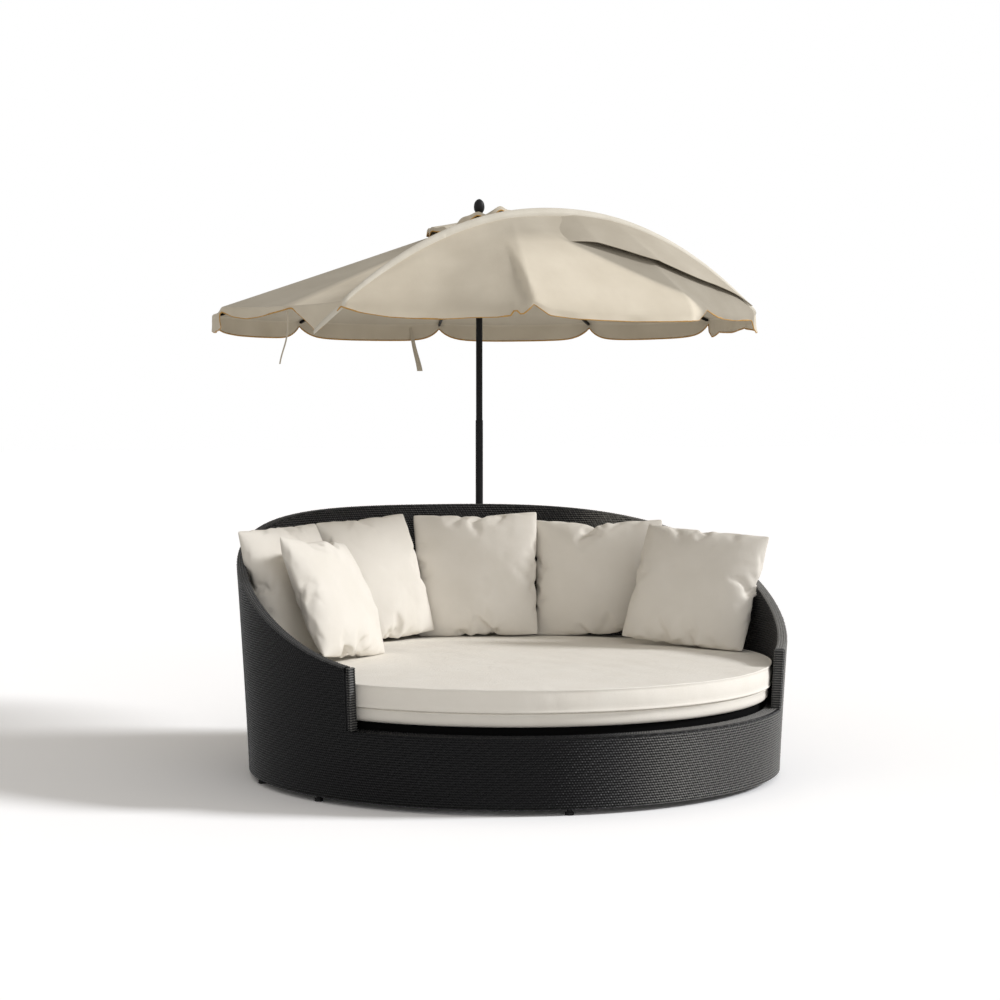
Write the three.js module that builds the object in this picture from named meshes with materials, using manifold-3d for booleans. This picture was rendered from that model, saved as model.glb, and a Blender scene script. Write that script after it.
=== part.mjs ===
// A round woven daybed with loose cushions and a folding parasol that stands behind its back.
// Millimetres, +Z up. The origin is on the floor under the middle of the round base.
// The open front faces -Y.
// Directions round the bed and round the pole are angles from -Y towards +X.
import * as THREE from "three";
import { mergeVertices } from "three/addons/utils/BufferGeometryUtils.js";
import Module from "manifold-3d";

const wasm = await Module();
wasm.setup();

const degree = Math.PI / 180;
const halfTurn = 180;
const rightAngle = 90;

// Gaps between pieces
const seatGap = 0.3; // between a piece and what it rests on
const runGap = 0.4; // between sliding or turning pieces
const slotGap = 0.5; // each side of a bar in its slot
const overrun = 5; // how far a cutter passes the face that it cuts

// The round base and the wall of the daybed
const baseRadius = 900;
const skirtGap = 20;
const rimHeight = 239;
const armRiseShare = 0.217; // of the base's radius, as is the next
const backRiseShare = 0.701;
const wallFlareShare = 0.0556;
const flarePower = 1.15;
const wallThickness = 32;
const armAngle = 54.3;
const skinThickness = 4;
const rimWidth = 56;
const rimRound = 9;
const lipDepth = 34;
const riseSharpness = 3.5;
const riseLead = 2.9;
const ringSegments = 60;
const frameSegments = 40;
const wallSegments = 44;
const arcSteps = 6;
const rimSteps = 3;
const tubeSides = 8;

// The frame inside the base
const tubeRadius = 13;
const ringClearance = 4;
const postCount = 8;
const beamWidth = 40;
const beamHeight = 26;
const legRadius = 20;
const legPlateRadius = 45;
const legPlateThickness = 6;
const deckClearance = 12;
const deckThickness = 18;
const deckEdge = 3;
const deckTop = 262.7;

// The feet
const footHeight = 21;
const footRadius = 14;
const footStemRadius = 8;
const footPadHeight = 9;
const footAngles = [-91.5, -65.2, -9.9, 75, 155];

// The frame inside the wall
const railRadius = 11;
const uprightRadius = 9.5;
const uprightCount = 9;

// The seat cushion
const seatClearance = 5.8;
const seatThickness = 118;
const seatCrown = 8;
const lowerLayer = 45;
const lowerInset = 12;
const weltDepth = 9;
const seatRound = 22;
const seatTuck = 30;
const tuckShares = { out: 0.333, up: 0.2 };
const weltShares = { lower: 0.333, upper: 0.5 };
const edgeShares = { out: 0.167, down: 0.714, inner: 0.5, lowered: 0.25 };
const crownShares = [1, 0.8, 0.5, 0];
const cushionSegments = 48;

// The scatter pillows: how far out the middle of each lower edge stands, as a share of the wall's inner
// radius, and which way round. Then which way the pillow faces, how it leans and rolls, and its size.
const pillowSizeShare = 0.52;
const pillowFatShare = 0.321;
const pillowDrawInShare = 0.033;
const pillowPower = 2.4;
const pillowFullness = 0.62;
const pillowSteps = 10;
const pillowSeat = 0.5;
const pillows = [
  {
    name: "pillow_back_left", outShare: 0.7916, round: -111.34,
    faces: -141, lean: 18, roll: -1, wideShare: 1.012, tallShare: 1.030,
  },
  {
    name: "pillow_left_front", outShare: 0.6290, round: -99.17,
    faces: -132, lean: 25, roll: 6, wideShare: 1.021, tallShare: 0.964,
  },
  {
    name: "pillow_left_middle", outShare: 0.7833, round: -161.03,
    faces: -154, lean: 19, roll: -3.5, wideShare: 0.999, tallShare: 1.059,
  },
  {
    name: "pillow_centre", outShare: 0.8414, round: 169.91,
    faces: 157, lean: 7.5, roll: -1.7, wideShare: 1.039, tallShare: 1.041,
  },
  {
    name: "pillow_right_middle", outShare: 0.9140, round: 135.41,
    faces: 147, lean: 3, roll: -2, wideShare: 1.101, tallShare: 0.977,
  },
  {
    name: "pillow_right", outShare: 0.7749, round: 97.43,
    faces: 130, lean: 22, roll: 4, wideShare: 1.081, tallShare: 0.984,
  },
];

// The two-part pole and what holds it behind the wall
const poleClearance = 20;
const poleAngle = 167.1;
const upperPoleRadius = 12.5;
const upperPoleBore = 11;
const lowerPoleRadius = 14.25;
const lowerPoleBore = 12.95;
const lowerPoleTop = 1189;
const socketFloor = 76;
const poleOverlap = 300;
const stopBore = 9.5;
const stopHeight = 6;
const poleCap = 3;
const poleSegments = 24;
const screwSegments = 16;
const hubSegments = 40;
const barSegments = 4;
const holderRadius = 22;
const socketBottom = 68;
const socketTop = 150;
const bracketDrop = 80;
const bracketHeight = 48;
const plateWidth = 96;
const plateThickness = 6;
const armWidth = 30;
const bossRadius = 9;
const bossLength = 18;
const screwRadius = 4;
const knobRadius = 24;
const knobLobes = 5;
const knobLobeDepth = 3;
const knobLobeSteps = 6;
const knobThickness = 20;
const knobNeck = 6;
const knobNeckRadius = 8;

// The folding frame of the parasol
const ribCount = 10;
const firstRibAngle = -46.5;
const canopyRadius = 1047;
const canopyTop = 1948;
const canopyEdge = 1596;
const ribPivotRadius = 32;
const ribWidth = 8;
const ribHeight = 10;
const ribSetback = 10.5;
const ribClearance = 0.97;
const stretcherWidth = 4;
const stretcherHeight = 8;
const stretcherReach = 330;
const stretcherSpare = 20; // how much longer a stretcher is than its reach along the rib
const stretcherPivotRadius = 34;
const hubRadius = 44;
const hubSlotRadius = 25;
const hubAbove = 12;
const hubBelow = 14;
const runnerRadius = 46;
const runnerSlotRadius = 27;
const runnerHeight = 22;
const barrelRadius = 24;
const barrelLength = 46;
const catchAngle = -20;
const catchDrop = 38;
const catchRadius = 4;
const catchLength = 9;
const catchInset = 3.5;
const catchPocket = 8;

// The cloth of the canopy
const clothThickness = 3;
const canopyHole = 48;
const panelGap = 0.3;
const valanceDepth = 66;
const notchDepth = 22;
const notchPower = 8;
const canopySag = 9;
const panelShares = [-1, -0.72, -0.4, -0.12, 0, 0.12, 0.4, 0.72, 1]; // across a panel, from its rib
const panelRows = 3;
const hoodTipShares = [0, 0.5, 0.992, 0.996, 1]; // out along the ribs where the hood ends
const hoodPanels = 3;
const hoodRise = 346;
const hoodPower = 2.1;
const bowRadius = 4;
const bowDrop = 9;
const bowSteps = 28;
const bowSides = 6;
const capRadius = 196;
const capLift = 12;
const capRimLift = 24;
const capFrill = 16;
const capThickness = 2;
const capRipples = 7;
const capRipple = 6;
const capHole = 11.5;
const capSteps = 42;
const capRows = 3;

// The finial
const finialRise = 84; // the finial's top over the cloth's top
const finialStem = 11;
const finialFlange = 17;
const finialFlangeHeight = 4;
const finialNeck = 9.5;
const finialNeckHeight = 8;
const finialRadius = 15;
const domeSteps = 4;

// The tie straps that hang from the valance
const strapWidth = 16;
const strapThickness = 1.6;
const strapLength = 185;
const strapBend = 9;
const strapSteps = 4;
const straps = [
  { name: "tie_strap_1", rib: 1, goreShare: -0.9 },
  { name: "tie_strap_2", rib: 7, goreShare: 0.25 },
];

const weave = new THREE.MeshStandardMaterial({ color: 0x1d1e21, roughness: 0.62, metalness: 0 });
const coated = new THREE.MeshStandardMaterial({ color: 0x17181a, roughness: 0.42, metalness: 0.6 });
const plastic = new THREE.MeshStandardMaterial({ color: 0x121314, roughness: 0.5, metalness: 0 });
const timber = new THREE.MeshStandardMaterial({ color: 0x2a241e, roughness: 0.8, metalness: 0 });
const cushionCloth = new THREE.MeshStandardMaterial({ color: 0xe9e3d8, roughness: 0.9, metalness: 0 });
const canopyCloth = new THREE.MeshStandardMaterial({ color: 0xcfc6b4, roughness: 0.85, metalness: 0 });

const daybed = new THREE.Group();

// Solids and meshes

function point(x, y, z) {
  return new THREE.Vector3(x, y, z);
}

// A point at an angle from -Y towards +X.
function polar(radius, angle, height) {
  return point(radius * Math.sin(angle * degree), -radius * Math.cos(angle * degree), height);
}

function volumeOf(positions, faces) {
  const [a, b, c] = [point(0, 0, 0), point(0, 0, 0), point(0, 0, 0)];
  let total = 0;
  for (let i = 0; i < faces.length; i += 3) {
    a.fromArray(positions, 3 * faces[i]);
    b.fromArray(positions, 3 * faces[i + 1]);
    c.fromArray(positions, 3 * faces[i + 2]);
    total += a.dot(b.cross(c));
  }
  return total;
}

// Turns points and faces into a geometry whose faces look outwards.
function faceted(positions, faces) {
  const turned = volumeOf(positions, faces) < 0;
  const order = turned ? faces.map((_, i) => faces[i - (i % 3) + 2 - (i % 3)]) : faces;
  const geometry = new THREE.BufferGeometry();
  geometry.setAttribute("position", new THREE.Float32BufferAttribute(positions, 3));
  geometry.setIndex(order);
  return geometry;
}

function plain(geometry) {
  const copy = geometry.clone();
  copy.deleteAttribute("normal");
  copy.deleteAttribute("uv");
  const merged = mergeVertices(copy, 1e-4);
  return faceted(Array.from(merged.getAttribute("position").array), Array.from(merged.index.array));
}

// Skins a row of closed loops of points, and closes its two ends.
function loft(loops) {
  const count = loops[0].length;
  const positions = loops.flat().flatMap((p) => [p.x, p.y, p.z]);
  const faces = [];
  for (let i = 0; i + 1 < loops.length; i++) {
    for (let j = 0; j < count; j++) {
      const [a, b] = [i * count + j, i * count + ((j + 1) % count)];
      faces.push(a, b, b + count, a, b + count, a + count);
    }
  }
  const last = (loops.length - 1) * count;
  for (let j = 1; j + 1 < count; j++) {
    faces.push(0, j + 1, j, last, last + j, last + j + 1);
  }
  return faceted(positions, faces);
}

// A profile of [radius, height] pairs turned round the Z axis.
function turned(profile, segments) {
  const points = profile.map(([radius, height]) => new THREE.Vector2(radius, height));
  return plain(new THREE.LatheGeometry(points, segments).rotateX(Math.PI / 2));
}

function cylinder(radius, bottom, top, segments) {
  return turned([[0, bottom], [radius, bottom], [radius, top], [0, top]], segments);
}

function box(width, depth, bottom, top) {
  return plain(new THREE.BoxGeometry(width, depth, top - bottom).translate(0, 0, (top + bottom) / 2));
}

// An outline in the XZ plane, as thick as given along Y and centred on it.
function sidePlate(shape, thickness, curveSegments) {
  const made = new THREE.ExtrudeGeometry(shape, { depth: thickness, bevelEnabled: false, curveSegments });
  return plain(made.rotateX(Math.PI / 2).translate(0, thickness / 2, 0));
}

// A bar with round ends, from the origin along +X.
function barShape(length, height) {
  const shape = new THREE.Shape();
  shape.absarc(0, 0, height / 2, Math.PI / 2, (3 * Math.PI) / 2, false);
  shape.absarc(length, 0, height / 2, -Math.PI / 2, Math.PI / 2, false);
  return shape;
}

function solidOf(geometry) {
  const source = plain(geometry);
  return new wasm.Manifold(
    new wasm.Mesh({
      numProp: 3,
      vertProperties: new Float32Array(source.getAttribute("position").array),
      triVerts: new Uint32Array(source.index.array),
    }),
  );
}

function geometryOf(solid) {
  const made = solid.getMesh();
  return faceted(Array.from(made.vertProperties), Array.from(made.triVerts));
}

function joined(...geometries) {
  return geometryOf(geometries.map(solidOf).reduce((whole, next) => whole.add(next)));
}

function cut(geometry, ...cutters) {
  return geometryOf(cutters.map(solidOf).reduce((whole, next) => whole.subtract(next), solidOf(geometry)));
}

function addMesh(parent, name, geometry, material) {
  const mesh = new THREE.Mesh(geometry, material);
  mesh.name = name;
  parent.add(mesh);
  return mesh;
}

// The shape of the wall

const armHeight = rimHeight + armRiseShare * baseRadius;
const backHeight = rimHeight + backRiseShare * baseRadius;
const wallFlare = wallFlareShare * baseRadius;
const innerRadius = baseRadius - wallThickness;

function outerRadius(height) {
  const share = (height - skirtGap) / (backHeight - skirtGap);
  return baseRadius + wallFlare * Math.max(share, 0) ** flarePower;
}

// The wall's top climbs from the arms to the back in a long S.
function wallHeight(angle) {
  const away = (Math.abs(angle) - armAngle) / (halfTurn - armAngle);
  const rise = 1 - (1 - away) ** riseSharpness * (1 + riseLead * away);
  return armHeight + (backHeight - armHeight) * rise;
}

const wallFoot = rimHeight + seatGap;

// The wall's section at one angle, drawn in by an inset: out, over the round top and down the inside.
function wallSection(angle, inset, foot) {
  const half = wallThickness / 2 - inset;
  const roundCentre = wallHeight(angle) - wallThickness / 2;
  const middle = (foot + roundCentre) / 2;
  const loop = [foot, middle].map((z) => polar(outerRadius(z) - inset, angle, z));
  for (let i = 0; i <= arcSteps; i++) {
    const turn = (Math.PI * i) / arcSteps;
    const radius = outerRadius(roundCentre) - wallThickness / 2 + half * Math.cos(turn);
    loop.push(polar(radius, angle, roundCentre + half * Math.sin(turn)));
  }
  loop.push(...[middle, foot].map((z) => polar(outerRadius(z) - wallThickness + inset, angle, z)));
  return loop;
}

// The angles of the wall's stations, from one arm round the back to the other, less an inset at each end.
function wallAngles(inset) {
  const start = armAngle + inset / baseRadius / degree;
  const sweep = 2 * (halfTurn - start);
  const angles = Array.from({ length: wallSegments + 1 }, (_, i) => start + (sweep * i) / wallSegments);
  return angles.map((angle) => (angle > halfTurn ? angle - 2 * halfTurn : angle));
}

// The base

const lipRadius = outerRadius(rimHeight - rimRound) - rimWidth;
const deckRadius = lipRadius - deckClearance;
const lowerRingRadius = baseRadius - skinThickness - tubeRadius - ringClearance;
const upperRingRadius = lipRadius + skinThickness + tubeRadius + ringClearance;

function baseSkin() {
  const top = rimHeight;
  const outTop = outerRadius(top - rimRound);
  const inner = lipRadius;
  const arc = Array.from({ length: rimSteps + 1 }, (_, i) => (i * Math.PI) / (2 * rimSteps));
  const outside = arc.map((turn) => [
    outTop - rimRound + rimRound * Math.cos(turn),
    top - rimRound + rimRound * Math.sin(turn),
  ]);
  const profile = [
    [outerRadius(skirtGap), skirtGap],
    ...outside,
    [inner, top],
    [inner, top - lipDepth],
    [inner + skinThickness, top - lipDepth],
    [inner + skinThickness, top - skinThickness],
    [outTop - rimRound, top - skinThickness],
    [outTop - skinThickness, top - rimRound],
    [outerRadius(skirtGap) - skinThickness, skirtGap],
  ];
  addMesh(daybed, "base_woven_skin", turned([...profile, profile[0]], ringSegments), weave);
}

// A ring of octagonal tube that rests flat on its height.
function tubeRing(radius, bottom) {
  const flat = tubeRadius * Math.cos(Math.PI / tubeSides);
  const profile = Array.from({ length: tubeSides + 1 }, (_, i) => {
    const turn = ((i + 1 / 2) * 2 * Math.PI) / tubeSides;
    return [radius + tubeRadius * Math.cos(turn), bottom + flat + tubeRadius * Math.sin(turn)];
  });
  return turned(profile, frameSegments);
}

function baseFrame() {
  const flat = tubeRadius * Math.cos(Math.PI / tubeSides);
  const lowerBottom = footHeight + seatGap;
  const upperTop = rimHeight - skinThickness - seatGap;
  const beamTop = rimHeight - lipDepth - seatGap;
  const beamBottom = beamTop - beamHeight;
  const deckBottom = deckTop - deckThickness;
  const postRadius = (lowerRingRadius + upperRingRadius) / 2;
  const pieces = [tubeRing(lowerRingRadius, lowerBottom), tubeRing(upperRingRadius, upperTop - 2 * flat)];
  for (let i = 0; i < postCount; i++) {
    const post = cylinder(flat, lowerBottom + flat, upperTop - flat, tubeSides);
    const foot = polar(postRadius, (i * 2 * halfTurn) / postCount, 0);
    pieces.push(post.translate(foot.x, foot.y, 0));
  }
  for (const turn of [0, Math.PI / 2]) {
    pieces.push(box(2 * postRadius, beamWidth, beamBottom, beamTop).rotateZ(turn));
    const joist = box(2 * deckRadius - beamWidth, beamWidth, beamTop - flat, deckBottom - seatGap);
    pieces.push(joist.rotateZ(turn));
  }
  pieces.push(cylinder(legRadius, 0, beamBottom + flat, screwSegments));
  pieces.push(cylinder(legPlateRadius, 0, legPlateThickness, poleSegments));
  addMesh(daybed, "base_frame", joined(...pieces), coated);
}

function seatDeck() {
  const bottom = deckTop - deckThickness;
  const profile = [
    [0, bottom],
    [deckRadius - deckEdge, bottom],
    [deckRadius, bottom + deckEdge],
    [deckRadius, deckTop - deckEdge],
    [deckRadius - deckEdge, deckTop],
    [0, deckTop],
  ];
  addMesh(daybed, "seat_deck", turned(profile, frameSegments), timber);
}

function feet() {
  footAngles.forEach((angle, i) => {
    const profile = [
      [0, 0],
      [footRadius, 0],
      [footRadius, footPadHeight],
      [footStemRadius, footPadHeight],
      [footStemRadius, footHeight],
      [0, footHeight],
    ];
    const foot = addMesh(daybed, `foot_${i + 1}`, turned(profile, screwSegments), plastic);
    foot.position.copy(polar(lowerRingRadius, angle, 0));
  });
}

// The wall

function wallSkin() {
  const outside = loft(wallAngles(0).map((angle) => wallSection(angle, 0, wallFoot)));
  const hollow = loft(
    wallAngles(skinThickness).map((angle) => wallSection(angle, skinThickness, wallFoot - overrun)),
  );
  addMesh(daybed, "wall_woven_skin", cut(outside, hollow), weave);
}

// A straight tube between two points.
function tubeBetween(from, to, radius, sides) {
  const along = to.clone().sub(from);
  const tube = new THREE.CylinderGeometry(radius, radius, along.length(), sides);
  tube.rotateX(Math.PI / 2).translate(0, 0, along.length() / 2);
  const turn = new THREE.Quaternion().setFromUnitVectors(point(0, 0, 1), along.normalize());
  return plain(tube.applyQuaternion(turn).translate(from.x, from.y, from.z));
}

function wallFrame() {
  const middleRadius = (height) => outerRadius(height) - wallThickness / 2;
  const railAt = (angle) => wallHeight(angle) - wallThickness / 2;
  const inset = skinThickness + railRadius;
  const loops = wallAngles(inset).map((angle) =>
    Array.from({ length: tubeSides }, (_, i) => {
      const turn = ((i + 1 / 2) * 2 * Math.PI) / tubeSides;
      const height = railAt(angle);
      const radius = middleRadius(height) + railRadius * Math.cos(turn);
      return polar(radius, angle, height + railRadius * Math.sin(turn));
    }),
  );
  const pieces = [loft(loops)];
  const first = wallAngles(inset + uprightRadius)[0];
  for (let i = 0; i < uprightCount; i++) {
    const angle = first + (2 * (halfTurn - first) * i) / (uprightCount - 1);
    const around = angle > halfTurn ? angle - 2 * halfTurn : angle;
    const top = railAt(around);
    const foot = polar(middleRadius(wallFoot), around, wallFoot + 3 * seatGap);
    pieces.push(tubeBetween(foot, polar(middleRadius(top), around, top), uprightRadius, tubeSides));
  }
  addMesh(daybed, "wall_frame", joined(...pieces), coated);
}

// The cushions

const seatBottom = deckTop + seatGap;
const seatTop = seatBottom + seatThickness;
const seatRadius = outerRadius(seatBottom) - wallThickness - seatClearance;

function seatHeight(radius) {
  return seatTop + seatCrown * (1 - (radius / (seatRadius - seatRound)) ** 2);
}

function seatCushion() {
  const lowerRadius = seatRadius - lowerInset;
  const welt = seatBottom + lowerLayer;
  const upperMiddle = (welt + seatTop) / 2;
  const crown = crownShares.map((share) => {
    const radius = share * (seatRadius - seatRound);
    return [radius, seatHeight(radius)];
  });
  const profile = [
    [0, seatBottom],
    [lowerRadius - seatTuck, seatBottom],
    [lowerRadius - seatTuck * tuckShares.out, seatBottom + seatTuck * tuckShares.up],
    [lowerRadius, seatBottom + lowerLayer / 2],
    [lowerRadius - weltDepth * weltShares.lower, welt - weltDepth * weltShares.upper],
    [lowerRadius - weltDepth, welt],
    [seatRadius - weltDepth * weltShares.upper, welt + weltDepth * weltShares.upper],
    [seatRadius, upperMiddle],
    [seatRadius - seatRound * edgeShares.out, seatTop - seatRound * edgeShares.down],
    [seatRadius - seatRound * edgeShares.inner, seatTop - seatRound * edgeShares.lowered],
    ...crown,
  ];
  addMesh(daybed, "seat_cushion", turned(profile, cushionSegments), cushionCloth);
}

const pillowSize = pillowSizeShare * innerRadius;
const pillowThickness = pillowFatShare * pillowSize;
const pillowDrawIn = pillowDrawInShare * pillowSize;

// A crowned pillow in the XZ plane with its middle at the origin: the sides pull in between the corners.
function pillowGeometry(width, height) {
  const n = pillowSteps;
  const bulge = (share) => 1 - Math.abs(share) ** pillowPower;
  const spread = (i) => Math.sin((((2 * i) / n - 1) * Math.PI) / 2);
  const places = (side) => (i, j) => {
    const [u, v] = [spread(i), spread(j)];
    const x = u * (width / 2 - pillowDrawIn * (1 - v * v));
    const z = v * (height / 2 - pillowDrawIn * (1 - u * u));
    const y = (side * pillowThickness * (bulge(u) * bulge(v)) ** pillowFullness) / 2;
    return [x, y, z];
  };
  const positions = [];
  const faces = [];
  for (const side of [-1, 1]) {
    const start = positions.length / 3;
    const place = places(side);
    for (let i = 0; i <= n; i++) {
      for (let j = 0; j <= n; j++) {
        positions.push(...place(i, j));
      }
    }
    for (let i = 0; i < n; i++) {
      for (let j = 0; j < n; j++) {
        const a = start + i * (n + 1) + j;
        const [b, c, d] = [a + n + 1, a + n + 2, a + 1];
        const fromCorner = i < n / 2 === j < n / 2;
        const quad = fromCorner ? [a, b, c, a, c, d] : [a, b, d, b, c, d];
        faces.push(...(side < 0 ? quad : quad.reverse()));
      }
    }
  }
  return plain(faceted(positions, faces));
}

// Leans and rolls a pillow, turns it to face its way and lowers it onto the seat.
function placedPillow({ outShare, round, faces, lean, roll, wideShare, tallShare }) {
  const height = tallShare * pillowSize;
  const foot = polar(outShare * innerRadius, round, 0);
  const made = pillowGeometry(wideShare * pillowSize, height).translate(0, 0, height / 2);
  made.rotateY(roll * degree).rotateX(-lean * degree).rotateZ((faces - halfTurn) * degree);
  made.translate(foot.x, foot.y, 0);
  const places = made.getAttribute("position");
  let drop = Infinity;
  for (let i = 0; i < places.count; i++) {
    const radius = Math.hypot(places.getX(i), places.getY(i));
    if (radius > seatRadius - seatRound) continue;
    drop = Math.min(drop, places.getZ(i) - seatHeight(radius));
  }
  return made.translate(0, 0, pillowSeat - drop);
}

function scatterPillows() {
  for (const pillow of pillows) {
    addMesh(daybed, pillow.name, placedPillow(pillow), cushionCloth);
  }
}

// What holds the pole behind the wall. In this group +Y points out of the bed through the pole's axis.

const poleDistance = baseRadius + wallFlare + poleClearance;
const bracketTop = backHeight - bracketDrop;
const bracketBottom = bracketTop - bracketHeight;

const rear = new THREE.Group();
rear.rotation.z = (poleAngle - halfTurn) * degree;
daybed.add(rear);

// A plate on the wall's outside and a ring round the pole, as one piece.
function holder(bottom, top, ringSolid) {
  const wall = outerRadius(top) + seatGap;
  const plate = box(plateWidth, plateThickness, bottom, top).translate(0, wall + plateThickness / 2, 0);
  const reach = poleDistance - wall - plateThickness / 2;
  const arm = box(armWidth, reach, bottom, top).translate(0, poleDistance - reach / 2, 0);
  return joined(plate, arm, ringSolid.translate(0, poleDistance, 0));
}

function poleHolders() {
  const boreRadius = lowerPoleRadius + runGap;
  const cup = cylinder(holderRadius, socketBottom, socketTop, poleSegments);
  const cupBore = cylinder(boreRadius, socketFloor, socketTop + overrun, poleSegments);
  const socket = cut(holder(socketBottom, socketTop, cup), cupBore.translate(0, poleDistance, 0));
  addMesh(rear, "pole_socket", socket, coated);

  const middle = (bracketBottom + bracketTop) / 2;
  const ring = cylinder(holderRadius, bracketBottom, bracketTop, poleSegments);
  const screwWay = poleDistance + holderRadius;
  const screwEnd = screwWay + bossLength;
  const bossStart = point(0, screwWay - plateThickness, middle);
  const boss = tubeBetween(bossStart, point(0, screwEnd, middle), bossRadius, screwSegments);
  const ringBore = cylinder(boreRadius, bracketBottom - overrun, bracketTop + overrun, poleSegments);
  const boreStart = point(0, poleDistance, middle);
  const boreEnd = point(0, screwEnd + overrun, middle);
  const screwBore = tubeBetween(boreStart, boreEnd, screwRadius + runGap, screwSegments);
  const whole = joined(holder(bracketBottom, bracketTop, ring), boss);
  addMesh(rear, "pole_bracket", cut(whole, ringBore.translate(0, poleDistance, 0), screwBore), coated);
}

function clampKnob() {
  const middle = (bracketBottom + bracketTop) / 2;
  const tip = poleDistance + lowerPoleRadius + runGap;
  const neck = poleDistance + holderRadius + bossLength + runGap;
  const outline = new THREE.Shape();
  const steps = knobLobeSteps * knobLobes;
  for (let i = 0; i < steps; i++) {
    const turn = (2 * Math.PI * i) / steps;
    const radius = knobRadius - (knobLobeDepth / 2) * (1 - Math.cos(knobLobes * turn));
    const [x, y] = [radius * Math.cos(turn), radius * Math.sin(turn)];
    if (i) outline.lineTo(x, y);
    else outline.moveTo(x, y);
  }
  const grip = sidePlate(outline, knobThickness, 1).translate(0, neck + knobNeck + knobThickness / 2, middle);
  const face = point(0, neck + knobNeck, middle);
  const stem = tubeBetween(point(0, tip, middle), face, screwRadius, screwSegments);
  const heart = point(0, neck + knobNeck + knobThickness / 2, middle);
  const collar = tubeBetween(point(0, neck, middle), heart, knobNeckRadius, screwSegments);
  addMesh(rear, "clamp_knob", joined(grip, stem, collar), plastic);
}

// The parasol. In this group the Z axis is the pole's axis.

const parasol = new THREE.Group();
parasol.position.copy(polar(poleDistance, poleAngle, 0));
daybed.add(parasol);

const ribAngles = Array.from({ length: ribCount }, (_, i) => firstRibAngle + (i * 2 * halfTurn) / ribCount);
const halfGore = halfTurn / ribCount;
const canopyFall = (canopyTop - canopyEdge) / canopyRadius;
const canopySlope = Math.atan(canopyFall);
const ribTopDrop = clothThickness + ribClearance + ribHeight / 2 / Math.cos(canopySlope);
const ribPivotHeight = canopyTop - canopyFall * ribPivotRadius - ribTopDrop;

function poles() {
  const poleFloor = socketFloor + seatGap;
  const upperBottom = lowerPoleTop - poleOverlap;
  const stopTop = upperBottom - seatGap;
  const lower = [
    [0, poleFloor],
    [lowerPoleRadius, poleFloor],
    [lowerPoleRadius, lowerPoleTop],
    [lowerPoleBore, lowerPoleTop],
    [lowerPoleBore, stopTop],
    [stopBore, stopTop],
    [stopBore, stopTop - stopHeight],
    [lowerPoleBore, stopTop - stopHeight],
    [lowerPoleBore, poleFloor + poleCap],
    [0, poleFloor + poleCap],
  ];
  addMesh(parasol, "lower_pole", turned(lower, poleSegments), coated);
  const top = ribPivotHeight + hubAbove;
  const upper = [
    [0, top],
    [upperPoleRadius, top],
    [upperPoleRadius, upperBottom],
    [upperPoleBore, upperBottom],
    [upperPoleBore, top - poleCap],
    [0, top - poleCap],
  ];
  addMesh(parasol, "upper_pole", turned(upper, poleSegments), coated);
}

// A radial slot at an angle, moved sideways by an offset.
function slot(width, from, to, bottom, top, angle, offset) {
  const made = box(to - from, width, bottom, top).translate((from + to) / 2, offset, 0);
  return made.rotateZ((angle - rightAngle) * degree);
}

function hub() {
  const bottom = ribPivotHeight - hubBelow;
  const top = ribPivotHeight + hubAbove;
  const bore = cylinder(upperPoleRadius + runGap, bottom - overrun, top + overrun, poleSegments);
  const slots = ribAngles.map((angle) =>
    slot(
      ribWidth + 2 * slotGap, hubSlotRadius, hubRadius + overrun,
      bottom - overrun, top + overrun, angle, 0,
    ),
  );
  addMesh(parasol, "hub", cut(cylinder(hubRadius, bottom, top, hubSegments), bore, ...slots), plastic);
}

// Where the stretchers' pivots stand when the parasol is open: the runner's height follows from the linkage.
const stretcherEnd = {
  radius: ribPivotRadius + stretcherReach * Math.cos(canopySlope),
  height: ribPivotHeight - stretcherReach * Math.sin(canopySlope),
};
const stretcherLength = stretcherReach + stretcherSpare;
const stretcherRun = stretcherEnd.radius - stretcherPivotRadius;
const stretcherSlope = Math.acos(stretcherRun / stretcherLength);
const runnerPivotHeight = stretcherEnd.height - stretcherLength * Math.sin(stretcherSlope);
const stretcherOffset = (ribWidth + stretcherWidth) / 2 + slotGap;

function runner() {
  const top = runnerPivotHeight + runnerHeight / 2;
  const bottom = runnerPivotHeight - runnerHeight / 2;
  const end = bottom - barrelLength;
  const body = joined(
    cylinder(runnerRadius, bottom, top, hubSegments),
    cylinder(barrelRadius, end, bottom + overrun, poleSegments),
  );
  const bore = cylinder(upperPoleRadius + runGap, end - overrun, top + overrun, poleSegments);
  const slots = ribAngles.map((angle) =>
    slot(
      stretcherWidth + 2 * slotGap, runnerSlotRadius, runnerRadius + overrun,
      bottom - overrun, top + overrun, angle, stretcherOffset,
    ),
  );
  const pocketDepth = barrelRadius - catchPocket;
  const pocketStart = point(pocketDepth, 0, 0);
  const pocketEnd = point(runnerRadius, 0, 0);
  const pocket = tubeBetween(pocketStart, pocketEnd, catchRadius + runGap, screwSegments);
  pocket.rotateZ((catchAngle - rightAngle) * degree).translate(0, 0, runnerPivotHeight - catchDrop);
  addMesh(parasol, "runner", cut(body, bore, pocket, ...slots), plastic);
  const inner = barrelRadius - catchInset;
  const buttonEnd = point(inner + catchLength, 0, 0);
  const button = tubeBetween(point(inner, 0, 0), buttonEnd, catchRadius, screwSegments);
  button.rotateZ((catchAngle - rightAngle) * degree).translate(0, 0, runnerPivotHeight - catchDrop);
  addMesh(parasol, "runner_catch_button", button, coated);
}

const ribLength = (canopyRadius - ribSetback - ribPivotRadius) / Math.cos(canopySlope);

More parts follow.
